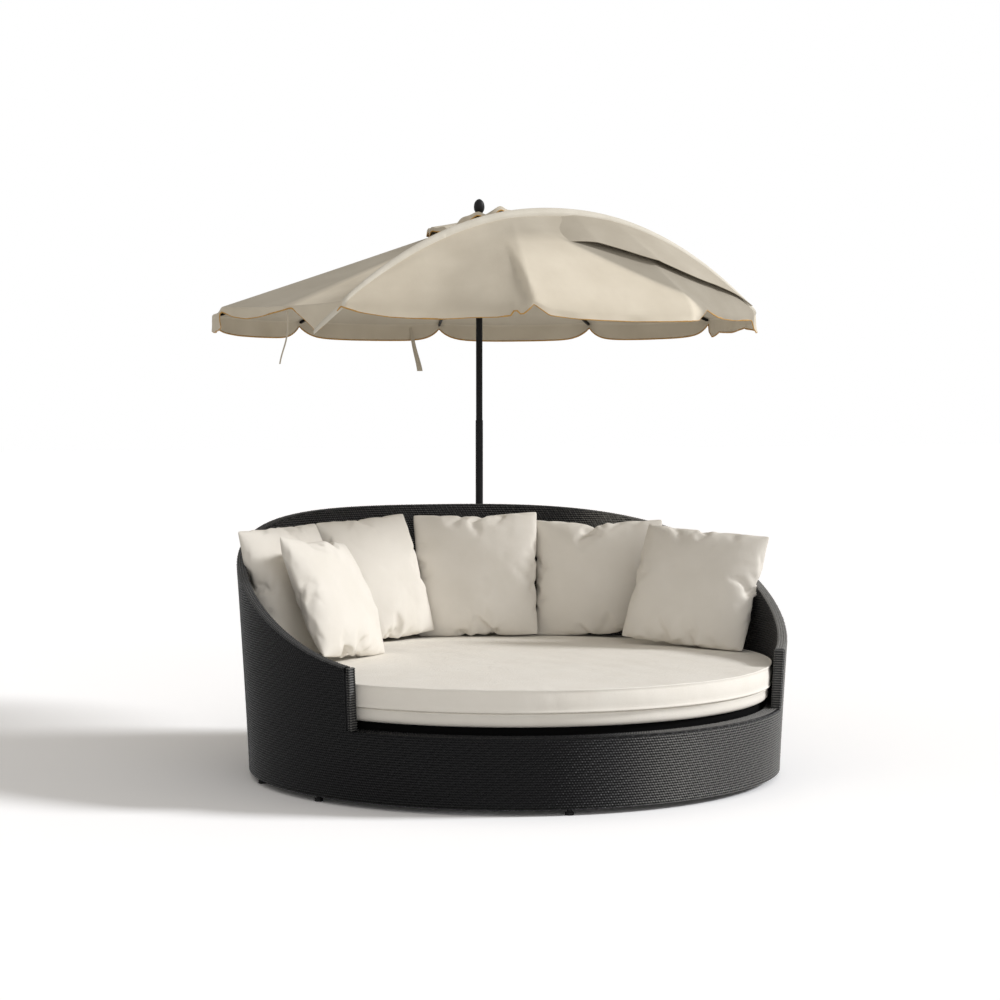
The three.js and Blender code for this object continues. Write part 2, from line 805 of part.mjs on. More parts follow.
function ribsAndStretchers() {
  ribAngles.forEach((angle, i) => {
    const arm = new THREE.Group();
    arm.rotation.z = (angle - rightAngle) * degree;
    parasol.add(arm);
    const beam = sidePlate(barShape(ribLength, ribHeight), ribWidth, barSegments);
    const rib = addMesh(arm, `rib_${i + 1}`, beam, coated);
    rib.position.set(ribPivotRadius, 0, ribPivotHeight);
    rib.rotation.y = canopySlope;
    const bar = sidePlate(barShape(stretcherLength, stretcherHeight), stretcherWidth, barSegments);
    const stretcher = addMesh(arm, `stretcher_${i + 1}`, bar, coated);
    stretcher.position.set(stretcherPivotRadius, stretcherOffset, runnerPivotHeight);
    stretcher.rotation.y = -stretcherSlope;
  });
}

// The cloth

// The angle from the middle of the nearest gore, within half a gore.
function fromGoreMiddle(angle) {
  const turns = (angle - firstRibAngle) / (2 * halfGore);
  return (turns - Math.floor(turns) - 0.5) * 2 * halfGore;
}

// The straight edge between two rib tips.
function edgeRadius(angle) {
  return (canopyRadius * Math.cos(halfGore * degree)) / Math.cos(fromGoreMiddle(angle) * degree);
}

const hoodMiddle = firstRibAngle + hoodPanels * halfGore;
const hoodHalf = hoodPanels * halfGore;
const bowDistance = canopyRadius * Math.cos(hoodHalf * degree);
const bowHalf = canopyRadius * Math.sin(hoodHalf * degree);

function inHood(angle) {
  return Math.abs(angle - hoodMiddle) < hoodHalf;
}

// The height of the hood's arch above the rib tips, at a distance along its chord.
function archHeight(along) {
  return hoodRise * (1 - Math.min(Math.abs(along) / bowHalf, 1) ** hoodPower);
}

// The height of the cloth's upper side. A flat gore runs between two ribs and sags a little between them.
function coneHeight(radius, angle) {
  const middle = fromGoreMiddle(angle);
  const out = (radius * Math.cos(middle * degree)) / Math.cos(halfGore * degree);
  const sag = canopySag * (1 - (middle / halfGore) ** 2) * (radius / canopyRadius);
  return canopyTop - canopyFall * out - sag;
}

function clothHeight(radius, angle) {
  if (!inHood(angle)) return coneHeight(radius, angle);
  const off = (angle - hoodMiddle) * degree;
  const foldRadius = bowDistance / Math.cos(off);
  const fold = canopyEdge + archHeight(bowDistance * Math.tan(off));
  if (radius <= foldRadius) return canopyTop + ((fold - canopyTop) * radius) / foldRadius;
  const share = (radius - foldRadius) / (edgeRadius(angle) - foldRadius);
  return fold + (coneHeight(edgeRadius(angle), angle) - fold) * share;
}

// How deep the valance hangs: it is cut in at each rib and round at its corners.
function valance(angle) {
  const share = Math.abs(fromGoreMiddle(angle)) / halfGore;
  return valanceDepth - (valanceDepth - notchDepth) * share ** notchPower;
}

// The radii of the rows across a panel, from the middle out. The hood's panels bend at the bow.
function panelRadii(angle) {
  const edge = edgeRadius(angle);
  if (!inHood(angle)) {
    const step = (edge - canopyHole) / panelRows;
    return Array.from({ length: panelRows + 1 }, (_, i) => canopyHole + step * i);
  }
  const fold = bowDistance / Math.cos((angle - hoodMiddle) * degree);
  const inside = [0, 1 / 2, 1].map((share) => canopyHole + (fold - canopyHole) * share);
  return [...inside, fold + (edge - fold) / 2, edge];
}

// One panel: the cloth on both sides of a rib, to the middle of each gore, with its valance.
function canopyPanel(ribAngle, name) {
  const gap = panelGap / 2 / canopyRadius / degree;
  const reach = halfGore - gap;
  const edgeOfHood = Math.abs(Math.abs(ribAngle - hoodMiddle) - hoodHalf) < halfGore;
  const loops = panelShares.map((share) => {
    const angle = ribAngle + share * reach;
    const inner = hoodRadii(angle, edgeOfHood || inHood(ribAngle));
    const top = inner.map((radius) => [radius, clothHeight(radius, angle)]);
    const [edge, height] = top[top.length - 1];
    const low = height - valance(angle);
    const upper = [...top, [edge, low]];
    const inside = edge - clothThickness;
    const under = [[inside, low], [inside, clothHeight(inside, angle) - clothThickness]];
    const back = top.slice(0, -1).reverse().map(([radius, z]) => [radius, z - clothThickness]);
    return [...upper, ...under, ...back].map(([radius, z]) => polar(radius, angle, z));
  });
  addMesh(parasol, name, loftOpen(loops), canopyCloth);
}

// Rows for a panel that has the bow's fold, also where the fold has run into the edge.
function hoodRadii(angle, folded) {
  if (!folded) return panelRadii(angle);
  if (inHood(angle)) return panelRadii(angle);
  const edge = edgeRadius(angle);
  return hoodTipShares.map((share) => canopyHole + (edge - canopyHole) * share);
}

// Skins a panel's loops: both sides of the cloth bend along the same diagonals, mirrored about the
// middle loop, and the ends are closed by strips between upper and under side.
function loftOpen(loops) {
  const count = loops[0].length;
  const positions = loops.flat().flatMap((p) => [p.x, p.y, p.z]);
  const faces = [];
  const middle = (loops.length - 1) / 2;
  for (let i = 0; i + 1 < loops.length; i++) {
    for (let j = 0; j < count; j++) {
      const [a, b] = [i * count + j, i * count + ((j + 1) % count)];
      const rising = [a, b, a + count, b, b + count, a + count];
      const falling = [a, b, b + count, a, b + count, a + count];
      const underSide = 2 * j >= count;
      faces.push(...(i < middle === underSide ? falling : rising));
    }
  }
  const last = (loops.length - 1) * count;
  for (let j = 0; 2 * j + 2 < count; j++) {
    const [a, b, c, d] = [j, j + 1, count - 2 - j, count - 1 - j];
    faces.push(a, c, b, a, d, c);
    faces.push(last + a, last + b, last + c, last + a, last + c, last + d);
  }
  return faceted(positions, faces);
}

function hoodBow() {
  const ribSide = ribWidth / 2 + seatGap + bowRadius * Math.sin(hoodHalf * degree);
  const trim = ribSide / Math.cos(hoodHalf * degree);
  const turn = hoodMiddle - rightAngle;
  const loops = Array.from({ length: bowSteps + 1 }, (_, i) => {
    const along = ((2 * i) / bowSteps - 1) * (bowHalf - trim);
    const height = canopyEdge + archHeight(along) - clothThickness - bowDrop - bowRadius;
    return Array.from({ length: bowSides }, (_, j) => {
      const around = (2 * Math.PI * j) / bowSides;
      return point(
        bowDistance + bowRadius * Math.cos(around), along, height + bowRadius * Math.sin(around),
      );
    });
  });
  addMesh(parasol, "hood_bow", loft(loops).rotateZ(turn * degree), coated);
}

// The vent cap: a small ruffled cone over the hub that follows the cloth under it.
function ventCap() {
  const at = (radius, angle, side) => {
    const share = (radius - capHole) / (capRadius - capHole);
    const ripple = capRipple * share ** 2 * Math.sin(capRipples * angle * degree);
    const lift = capLift + (capRimLift - capLift) * share + ripple;
    return polar(radius, angle, clothHeight(radius, angle) + lift - side * capThickness);
  };
  const rows = [capHole, ...[1, 2, capRows].map((i) => (capRadius * i) / capRows)];
  const loops = Array.from({ length: capSteps }, (_, i) => {
    const angle = hoodMiddle + (i * 2 * halfTurn) / capSteps;
    const around = angle > hoodMiddle + halfTurn ? angle - 2 * halfTurn : angle;
    const upper = rows.map((radius) => at(radius, around, 0));
    const under = rows.map((radius) => at(radius, around, 1)).reverse();
    const hem = polar(capRadius, around, 0).setZ(upper[rows.length - 1].z - capFrill);
    const hemBack = polar(capRadius - capThickness, around, 0).setZ(hem.z);
    under[0] = polar(capRadius - capThickness, around, 0).setZ(under[0].z);
    return [...upper, hem, hemBack, ...under];
  });
  const count = loops[0].length;
  const positions = loops.flat().flatMap((p) => [p.x, p.y, p.z]);
  const faces = [];
  for (let i = 0; i < capSteps; i++) {
    for (let j = 0; j < count; j++) {
      const k = (j + 1) % count;
      const [a, b] = [i * count, ((i + 1) % capSteps) * count];
      faces.push(a + j, a + k, b + k, a + j, b + k, b + j);
    }
  }
  addMesh(parasol, "vent_cap", faceted(positions, faces), canopyCloth);
}

function finial() {
  const bottom = ribPivotHeight + hubAbove + seatGap;
  const flange = canopyTop + capLift + seatGap;
  const neck = flange + finialFlangeHeight;
  const domeBottom = neck + finialNeckHeight;
  const domeCentre = canopyTop + finialRise - finialRadius;
  const dome = Array.from({ length: domeSteps + 1 }, (_, i) => {
    const turn = (i * Math.PI) / (2 * domeSteps);
    return [finialRadius * Math.cos(turn), domeCentre + finialRadius * Math.sin(turn)];
  });
  const profile = [
    [0, bottom],
    [finialStem, bottom],
    [finialStem, flange],
    [finialFlange, flange],
    [finialFlange, neck],
    [finialNeck, neck],
    [finialNeck, domeBottom],
    [finialRadius, domeBottom + finialNeckHeight / 2],
    ...dome,
  ];
  profile[profile.length - 1][0] = 0;
  addMesh(parasol, "finial", turned(profile, poleSegments), plastic);
}

// A tie strap that hangs from the valance's inside and bends a little on its way down.
function tieStrap(name, angle) {
  const skew = (strapWidth / 2) * Math.tan(Math.abs(fromGoreMiddle(angle)) * degree);
  const radius = edgeRadius(angle) - clothThickness - seatGap - strapThickness / 2 - skew;
  const top = coneHeight(edgeRadius(angle), angle) - clothThickness - seatGap - ribHeight;
  const loops = Array.from({ length: strapSteps + 1 }, (_, i) => {
    const share = i / strapSteps;
    const bend = strapBend * Math.sin(Math.PI * share);
    const corners = [[-1, -1], [1, -1], [1, 1], [-1, 1]];
    return corners.map(([across, through]) =>
      point(
        radius + (through * strapThickness) / 2 - bend, (across * strapWidth) / 2, top - strapLength * share,
      ),
    );
  });
  addMesh(parasol, name, loft(loops).rotateZ((angle - rightAngle) * degree), canopyCloth);
}

function canopy() {
  ribAngles.forEach((angle, i) => canopyPanel(angle, `canopy_panel_${i + 1}`));
  hoodBow();
  ventCap();
  finial();
  for (const { name, rib, goreShare } of straps) {
    tieStrap(name, ribAngles[rib - 1] + goreShare * halfGore);
  }
}

baseSkin();
baseFrame();
seatDeck();
feet();
wallSkin();
wallFrame();
seatCushion();
scatterPillows();
poleHolders();
clampKnob();
poles();
hub();
runner();
ribsAndStretchers();
canopy();

export default daybed;
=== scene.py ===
"""Dresses the round daybed: woven skins, cushions, pillows and the parasol's cloth, with a studio round it."""
import random
from math import atan, ceil, cos, degrees, hypot, pi, radians, sin, tan

import bmesh
import bpy
import numpy as np
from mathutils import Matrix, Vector


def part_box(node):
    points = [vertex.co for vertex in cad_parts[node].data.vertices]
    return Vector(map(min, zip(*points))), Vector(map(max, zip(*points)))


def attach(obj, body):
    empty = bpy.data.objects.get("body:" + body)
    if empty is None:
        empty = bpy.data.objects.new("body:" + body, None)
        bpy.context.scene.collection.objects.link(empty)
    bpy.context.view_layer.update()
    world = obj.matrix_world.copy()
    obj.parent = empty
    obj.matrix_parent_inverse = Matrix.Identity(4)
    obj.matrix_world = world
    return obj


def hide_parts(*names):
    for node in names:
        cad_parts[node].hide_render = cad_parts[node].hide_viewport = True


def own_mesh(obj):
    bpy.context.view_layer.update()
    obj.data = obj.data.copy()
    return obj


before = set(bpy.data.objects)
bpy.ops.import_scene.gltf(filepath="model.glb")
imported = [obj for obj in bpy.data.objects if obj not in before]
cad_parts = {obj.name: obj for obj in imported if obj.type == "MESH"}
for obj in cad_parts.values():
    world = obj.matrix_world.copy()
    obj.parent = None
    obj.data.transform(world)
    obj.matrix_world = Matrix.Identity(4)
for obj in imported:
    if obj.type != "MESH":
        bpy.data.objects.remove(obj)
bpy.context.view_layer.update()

# Metres and degrees. Directions round the bed and round the pole are angles from -Y towards +X.

# The camera, the light and the floor
CAMERA_PLACE = (-2.718, -7.130, 1.228)
CAMERA_TURN = (87.702, 0.0, -20.5)
CAMERA_LENS = 80.75
LAMPS = [("key", 72.0, 30.0, 2.42, 13.0), ("front", -4.0, 12.0, 0.60, 60.0)]  # azimuth, elevation, strength, angle
SUN_COLOR = (0.99, 0.99, 1.0)
WORLD_FILL = 0.39
WORLD_COLOR = (1.0, 0.95, 0.88, 1)
FLOOR_COLOR = (0.78, 0.77, 0.75, 1)
FLOOR_SHOWN = (1.265, 1.275, 1.30, 1)  # to the camera, in mirrors and through glass
FLOOR_GLOW = 0.01
FLOOR_REACH = 60.0

# The wall and the base
BASE_RADIUS = 0.9
SKIRT_GAP = 0.02
RIM_HEIGHT = 0.239
ARM_HEIGHT = 0.4343
BACK_HEIGHT = 0.8699
WALL_FLARE = 0.05004
FLARE_POWER = 1.15
WALL_THICKNESS = 0.032
ARM_ANGLE = 54.3
RISE_SHARPNESS = 3.5
RISE_LEAD = 2.9
WALL_FOOT = 0.2393
RIM_WIDTH = 0.056
RIM_LOW = 0.0002  # how far the rim's corner is rounded under the wall
RIM_ROUND = 0.0060  # and how much more at the open front
LIP_DEPTH = 0.034
LIP_ROUND = 0.004
SKIRT_THICKNESS = 0.004
SKIRT_TURN = 0.03  # how far the skirt's edge turns up inside
WEAVE_COLUMNS = 1192  # half strands round the whole bed
WEAVE_UP = 0.004  # half of a strand's pitch, up the wall
WEAVE_DEPTH = 0.0019
STRAND_UNDER = -0.25  # the relief where a strand passes under another
STRAND_GAP = -0.75  # the relief between strands
TOP_ROUND = 0.006
POST_WIDTH = 0.013
POST_GROOVE = 0.004
POST_ROUND = 0.004
POST_WRAP = 0.0009
POST_STEP = 0.002
DECK_STRIP = [(0.8405, 0.2626), (0.8425, 0.2626), (0.8425, 0.216), (0.8405, 0.216)]  # radius and height

# The seat cushion
SEAT_BOTTOM = 0.263
SEAT_THICKNESS = 0.118
SEAT_RADIUS = 0.8741
SEAT_CROWN = 0.008
SEAT_ROUND = 0.022
LOWER_LAYER = 0.045
LOWER_INSET = 0.012
SEAT_CREASES = 46

# The pillows: radius of the foot, its angle, facing, lean, roll, width, height
INNER_RADIUS = 0.868
PILLOW_SIZE = 0.52 * INNER_RADIUS
PILLOW_THICKNESS = 0.321 * PILLOW_SIZE
PILLOWS = {
    "pillow_back_left": (0.7916, -111.34, -141, 18, -1, 1.012, 1.030),
    "pillow_left_front": (0.6290, -99.17, -132, 25, 6, 1.021, 0.964),
    "pillow_left_middle": (0.7833, -161.03, -154, 19, -3.5, 0.999, 1.059),
    "pillow_centre": (0.8414, 169.91, 157, 7.5, -1.7, 1.039, 1.041),
    "pillow_right_middle": (0.9140, 135.41, 147, 3, -2, 1.101, 0.977),
    "pillow_right": (0.7749, 97.43, 130, 22, 4, 1.081, 0.984),
}
PILLOW_STEPS = 40
CASE_SPARE = 1.08  # how much larger than the pillow its flat case is
CASE_BOW = 0.085
CASE_APART = 0.03
CASE_SEED = 20
SIM_FRAMES = 26
STUFFING = {
    "quality": 7, "mass": 0.25, "tension_stiffness": 22, "compression_stiffness": 16, "shear_stiffness": 9,
    "bending_stiffness": 0.35, "tension_damping": 8, "air_damping": 3, "use_pressure": True,
    "uniform_pressure_force": 5.0,
}

# The parasol
POLE_ANGLE = 167.1
POLE_DISTANCE = 0.97004
RIB_COUNT = 10
FIRST_RIB = -46.5
HALF_GORE = 18.0
CANOPY_RADIUS = 1.047
CANOPY_TOP = 1.948
CANOPY_EDGE = 1.596
CANOPY_SAG = 0.009
HOOD_RISE = 0.346
HOOD_POWER = 2.1
HOOD_MIDDLE = FIRST_RIB + 3 * HALF_GORE
HOOD_HALF = 3 * HALF_GORE
HOOD_RIBS = (1, 2, 3, 4)
VALANCE_DEPTH = 0.066
NOTCH_DEPTH = 0.022
NOTCH_POWER = 8
CLOTH_THICKNESS = 0.002
CLOTH_INNER = 0.016
PIECE_COLUMNS = 60
INNER_ROWS = 18
OUTER_ROWS = 30
TURN_ROWS = 5
HEM_ROWS = 5
SHARP_TURN = 0.006
SOFT_TURN = 0.05
SLEEVE_STEP = 0.009
# How far the hem hangs under the canopy's edge, in metres, by the angle round the pole
HEM = [
    (-82.5, 0.012), (-79, 0.030), (-75, 0.037), (-69, 0.026), (-61.5, 0.006), (-60.5, 0.006), (-53.5, 0.092),
    (-52, 0.080), (-46.5, 0.016), (-43.3, 0.032), (-37.3, 0.045), (-27.5, 0.052), (-16.5, 0.050), (-13.9, 0.046),
    (-13.2, 0.020), (-12.6, 0.042), (-11.6, 0.041), (-9.9, 0.015), (-6.6, 0.049), (0, 0.055), (24.8, 0.057),
    (29, 0.050), (33.1, 0.006), (38.8, 0.026), (50.8, 0.030), (59.5, 0.030), (61.5, 0.078), (66, 0.060),
    (70, 0.049), (79, 0.058), (90, 0.053), (95, 0.073), (97.5, 0.045),
]
# Painted light: the hem's rows are painted paler, for the valance's inside in shade.
HEM_PAINTED_LIGHT = 1.15
# Painted shade: the loose flap over the hood is painted darker.
FLAP_PAINTED_SHADE = 0.82
# The flap's lower edge: the angle round the pole and its share of the way from the bow down to the edge
SLIT = [
    (2.2, 0.38), (8.8, 0.40), (15.1, 0.46), (20.6, 0.53), (25.3, 0.60), (33.9, 0.66), (42, 0.70), (50.4, 0.70),
    (55.5, 0.65), (60, 0.62),
]
FLAP_PIECES = ((2, 3.0, 7.5), (3, 7.5, 43.5), (4, 43.5, 60.3))  # rib, first and last angle
FLAP_ROWS = 14
BOW_TRIM = 0.0128  # how far the bow's ends stop short of the outer ribs' middles
BOW_DROP = 0.016
BOW_THICKNESS = 0.004
# The sleeve's section over the bow: how far its points lie inward, down the front, off the face and up
SLEEVE = [
    (0.014, 0, -0.002, 0), (0.013, 0, 0, 0.003), (0.006, 0, 0, 0.007), (0, 0, 0.0075, 0), (0, 0.011, 0.0095, 0),
    (0, 0.022, 0.0095, 0), (0, 0.031, 0.006, 0), (0, 0.033, -0.008, 0),
]
TAIL_END = (1.027, -53.4, 1.503)  # radius, angle and height
TAIL_LOOPS = 7
CAP_RADIUS = 0.196
CAP_INNER = 0.0125
CAP_CLOTH = 0.0018
FINIAL_SHOWN = 0.066
FINIAL_STEM = 0.011
# The finial's radius in metres by the share of its height over the vent cap
FINIAL = [
    (0, 0.0185), (0.03, 0.0200), (0.08, 0.0200), (0.11, 0.0180), (0.13, 0.0135), (0.20, 0.0130), (0.25, 0.0150),
    (0.32, 0.0180), (0.42, 0.0200), (0.52, 0.0205), (0.62, 0.0202), (0.72, 0.0190), (0.80, 0.0171), (0.87, 0.0142),
    (0.93, 0.0104), (0.975, 0.0060), (1, 0.0012),
]
STRAP_THICKNESS = 0.0014

FALL = (CANOPY_TOP - CANOPY_EDGE) / CANOPY_RADIUS
BOW_DISTANCE = CANOPY_RADIUS * cos(radians(HOOD_HALF))
BOW_HALF = CANOPY_RADIUS * sin(radians(HOOD_HALF))
UP = np.array([0, 0, 1.0])
MERGE = 1e-5  # vertices closer than this are joined


def ring_points(radius, angle, height):
    """Points at angles from -Y towards +X round the origin."""
    a = np.radians(angle)
    return np.stack([radius * np.sin(a), -radius * np.cos(a), height], axis=-1)


def polar(radius, angle, height):
    """One such point as a vector."""
    a = radians(angle)
    return Vector((radius * sin(a), -radius * cos(a), height))


def ramped(value, start, end):
    """0 before the start, 1 past the end and even between them."""
    return np.clip((value - start) / (end - start), 0, 1)


def wrapped_to_half(angle):
    """The same direction between -180 and 180 degrees."""
    return (angle + 180) % 360 - 180


def unit(v):
    return v / np.linalg.norm(v)


POLE = polar(POLE_DISTANCE, POLE_ANGLE, 0)


# Materials

def material(name, color, roughness, **sockets):
    made = bpy.data.materials.new(name)
    made.use_nodes = True
    shader = made.node_tree.nodes["Principled BSDF"]
    shader.inputs["Base Color"].default_value = (*color, 1)
    shader.inputs["Roughness"].default_value = roughness
    for socket, value in sockets.items():
        shader.inputs[socket.replace("_", " ")].default_value = value
    return made


def node(made, kind, *sources, **settings):
    """A new shader node. Sources link to its first inputs; settings are properties, or inputs' values or links."""
    new = made.node_tree.nodes.new("ShaderNode" + kind)
    for key, value in settings.items():
        if hasattr(new, key):
            setattr(new, key, value)
    links = list(zip(sources, new.inputs))
    for key, value in settings.items():
        if hasattr(new, key):
            continue
        socket = new.inputs[key.replace("_", " ")]
        if isinstance(value, bpy.types.NodeSocket):
            links.append((value, socket))
        else:
            socket.default_value = value
    for source, socket in links:
        made.node_tree.links.new(source, socket)
    return new


def feed(made, output, socket="Base Color"):
    made.node_tree.links.new(output, made.node_tree.nodes["Principled BSDF"].inputs[socket])


def place_in(made):
    return node(made, "TexCoord").outputs["Object"]


def noise(made, place, scale, detail, **settings):
    return node(made, "TexNoise", place, Scale=scale, Detail=detail, **settings).outputs["Fac"]


def ramp(made, factor, *stops):
    """A colour between stops, each with its position and its colour."""
    new = node(made, "ValToRGB", factor)
    elements = new.color_ramp.elements
    for i, (position, color) in enumerate(stops):
        element = elements[i] if i < 2 else elements.new(position)
        element.position = position
        element.color = (*color, 1)
    return new.outputs["Color"]


def bump(made, height, strength, distance, **before):
    """Adds a bump, on top of the one before it, and returns its normal."""
    normal = node(made, "Bump", Height=height, Strength=strength, Distance=distance, **before).outputs["Normal"]
    feed(made, normal, "Normal")
    return normal


def mottle(made, dark, light, scale):
    """A base colour that wanders between two tones."""
    place = place_in(made)
    color = ramp(made, noise(made, place, scale, 3.0), (0.3, dark), (0.7, light))
    feed(made, color)
    return place, color


def weave_material():
    """Black resin strands, with painted shade in the gaps between them and painted highlights on their proud middles.
    """
    made = material("resin_weave", (0.02, 0.021, 0.024), 0.34, Specular_IOR_Level=0.12)
    place = place_in(made)
    proud = node(made, "Attribute", attribute_name="relief").outputs["Fac"]
    # The relief attribute's colours are painted light: near black in the gaps as painted shade, grey on the proud tops
    # as painted highlight.
    strands = ramp(made, proud, (0.05, (0.0018, 0.0019, 0.0025)), (0.35, (0.062, 0.063, 0.066)),
                   (0.75, (0.38, 0.375, 0.36)))
    worn = node(made, "Mix", data_type="RGBA", blend_type="MULTIPLY")
    factor, first, second, result = worn.inputs[0], worn.inputs[6], worn.inputs[7], worn.outputs[2]
    factor.default_value = 0.6
    made.node_tree.links.new(strands, first)
    made.node_tree.links.new(noise(made, place, 140.0, 2.0), second)
    feed(made, result)
    stretched = node(made, "Mapping", place, Scale=(300.0, 300.0, 1400.0)).outputs["Vector"]
    bump(made, noise(made, stretched, 1.0, 2.0), 0.35, 0.0006)
    return made


def cloth_material(name, color, roughness, dark, light, scale, pitch, strength, dents=None, with_painted_light=False):
    """Cloth of crossed threads, with soft dents as scale, detail, strength and depth, with painted light and shade
    from the mesh if it says.
    """
    made = material(name, color, roughness, Specular_IOR_Level=0.25)
    place, plain = mottle(made, dark, light, scale)
    if with_painted_light:
        # The mesh's attribute scales the colour: painted light and shade.
        painted_light_scale = node(made, "Attribute", attribute_name="painted_light_scale").outputs["Fac"]
        feed(made, node(made, "VectorMath", plain, Scale=painted_light_scale, operation="SCALE").outputs["Vector"])
    waves = [node(made, "TexWave", place, Scale=1 / pitch, Distortion=1.5, wave_type="BANDS",
                  bands_direction=way).outputs["Fac"] for way in "XZ"]
    crossed = node(made, "Math", *waves, operation="MULTIPLY").outputs["Value"]
    threads = bump(made, crossed, strength, 0.0006)
    if dents:
        wide, detail, depth_share, depth = dents
        bump(made, noise(made, place, wide, detail), depth_share, depth, Normal=threads)
    return made


def cushion_material(name, dark, light):
    return cloth_material(name, light, 0.9, dark, light, 9.0, 0.0021, 0.25, (34.0, 3.0, 0.16, 0.004))


def piping_material():
    made = material("amber_piping", (0.5, 0.27, 0.06), 0.6)
    mottle(made, (0.42, 0.22, 0.045), (0.58, 0.33, 0.08), 60.0)
    return made


def coated_material(name, color, roughness, metallic):
    made = material(name, color, roughness, Metallic=metallic, Specular_IOR_Level=0.15)
    place = place_in(made)
    bump(made, noise(made, place, 900.0, 2.0), 0.25, 0.0004)
    span = node(made, "MapRange", noise(made, place, 35.0, 5.0), To_Min=roughness - 0.08, To_Max=roughness + 0.12)
    feed(made, span.outputs["Result"], "Roughness")
    return made


# The deck board is near black as painted shade, for the gap under the seat cushion.
def plywood_material():
    made = material("plywood_painted_shade", (0.012, 0.010, 0.008), 0.75, Specular_IOR_Level=0.2)
    stretched = node(made, "Mapping", place_in(made), Scale=(4.0, 40.0, 40.0)).outputs["Vector"]
    grain = noise(made, stretched, 1.6, 6.0, Distortion=0.6)
    feed(made, ramp(made, grain, (0, (0.008, 0.0065, 0.005)), (1, (0.018, 0.015, 0.012))))
    bump(made, grain, 0.2, 0.001)
    return made


WEAVE = weave_material()
LINEN = cushion_material("cushion_linen", (0.88, 0.845, 0.78), (0.91, 0.88, 0.82))
# The seat's linen made darker for the pillows: painted shade.
PILLOW_LINEN_PAINTED_SHADE = cushion_material("pillow_linen_painted_shade", (0.79, 0.755, 0.69), (0.825, 0.79, 0.73))
CANVAS = cloth_material("canopy_canvas", (0.6, 0.55, 0.45), 0.85, (0.565, 0.51, 0.415), (0.64, 0.585, 0.485), 6.0,
                        0.0018, 0.2, (11.0, 4.0, 0.12, 0.01), with_painted_light=True)
# A paler copy of the canvas for the sleeve over the bow: painted light on its rounded top.
BAND_PAINTED_LIGHT = cloth_material("canopy_band_painted_light", (0.74, 0.70, 0.61), 0.8, (0.70, 0.66, 0.57), (0.78, 0.74, 0.655), 14.0,
                      0.0018, 0.2)
PIPING = piping_material()
METAL = coated_material("coated_metal", (0.016, 0.016, 0.017), 0.4, 0.35)
PAINTED = coated_material("painted_pole", (0.008, 0.008, 0.009), 0.5, 0.0)
PLASTIC = coated_material("moulded_black", (0.012, 0.012, 0.013), 0.48, 0.0)
PLYWOOD_PAINTED_SHADE = plywood_material()
# Near black and without sheen: painted shade for the gap under the seat cushion.
GAP_PAINTED_SHADE = material("deck_gap_painted_shade", (0.004, 0.004, 0.004), 0.95, Specular_IOR_Level=0.05)


# Meshes

def linked(name, vertices, faces):
    """A new object in the scene, made of vertices and faces."""
    mesh = bpy.data.meshes.new(name)
    mesh.from_pydata([tuple(v) for v in vertices], [], faces)
    obj = bpy.data.objects.new(name, mesh)
    bpy.context.scene.collection.objects.link(obj)
    return obj


def vertex_values(mesh, name, values):
    mesh.attributes.new(name, "FLOAT", "POINT").data.foreach_set("value", np.asarray(values, dtype=np.float32))


def piece(name, vertices, faces, look, body, slot, proud=None, painted_light_scale=None):
    """A new piece of the part that rides on a body."""
    obj = linked(name, vertices, faces)
    mesh = obj.data
    mesh.validate()
    mesh.update()
    mesh.shade_smooth()
    if proud is not None:
        mesh.shade_flat()
        vertex_values(mesh, "relief", proud)
    # Canvas carries a scale for its painted light and shade, plain where none is given.
    if look is CANVAS:
        vertex_values(mesh, "painted_light_scale", np.ones(len(mesh.vertices)) if painted_light_scale is None else painted_light_scale)
    mesh.materials.append(look)
    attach(obj, body)
    return obj


def grid(points, keep=None, closed=False):
    """Faces over a grid of points. Where keep is False a point falls together with the one before it in its column."""
    columns, rows = points.shape[:2]
    index = np.arange(columns * rows).reshape(columns, rows)
    if keep is not None:
        for r in range(1, rows):
            index[:, r] = np.where(keep[:, r], index[:, r], index[:, r - 1])
    if closed:
        index = np.vstack([index, index[:1]])
    quads = np.stack([index[:-1, :-1], index[1:, :-1], index[1:, 1:], index[:-1, 1:]], axis=-1).reshape(-1, 4)
    faces = []
    for quad in quads.tolist():
        face = [v for i, v in enumerate(quad) if v != quad[i - 1]]
        if len(set(face)) == len(face) > 2:
            faces.append(face)
    used = np.unique([v for face in faces for v in face])
    place = np.full(columns * rows, -1)
    place[used] = np.arange(len(used))
    return used, [[int(place[v]) for v in face] for face in faces]


def surface(name, points, look, body, slot, keep=None, closed=False, turned_over=False, proud=None, painted_light_scale=None):
    """A piece from a grid of points."""
    used, faces = grid(points, keep, closed)
    if turned_over:
        faces = [face[::-1] for face in faces]
    values = [v if v is None else v.ravel()[used] for v in (proud, painted_light_scale)]
    return piece(name, points.reshape(-1, 3)[used], faces, look, body, slot, *values)


def tidied(obj, merge=0.0):
    """Joins vertices that lie closer than the distance and turns the faces of a closed mesh outwards."""
    work = bmesh.new()
    work.from_mesh(obj.data)
    if merge:
        bmesh.ops.remove_doubles(work, verts=work.verts, dist=merge)
    bmesh.ops.recalc_face_normals(work, faces=work.faces)
    work.to_mesh(obj.data)
    work.free()


def tube(name, points, look, body, slot, proud=None, crisp=60, far_first=False):
    """A piece from a grid whose columns run round it, with a flat cap at each end."""
    columns, rows = points.shape[:2]
    _, faces = grid(points, closed=True)
    near = [i * rows for i in range(columns)]
    far = [i + rows - 1 for i in near]
    faces += [far, near[::-1]] if far_first else [near, far[::-1]]
    obj = piece(name, points.reshape(-1, 3), faces, look, body, slot, proud)
    tidied(obj)
    if proud is None:
        obj.data.set_sharp_from_angle(angle=radians(crisp))
    return obj


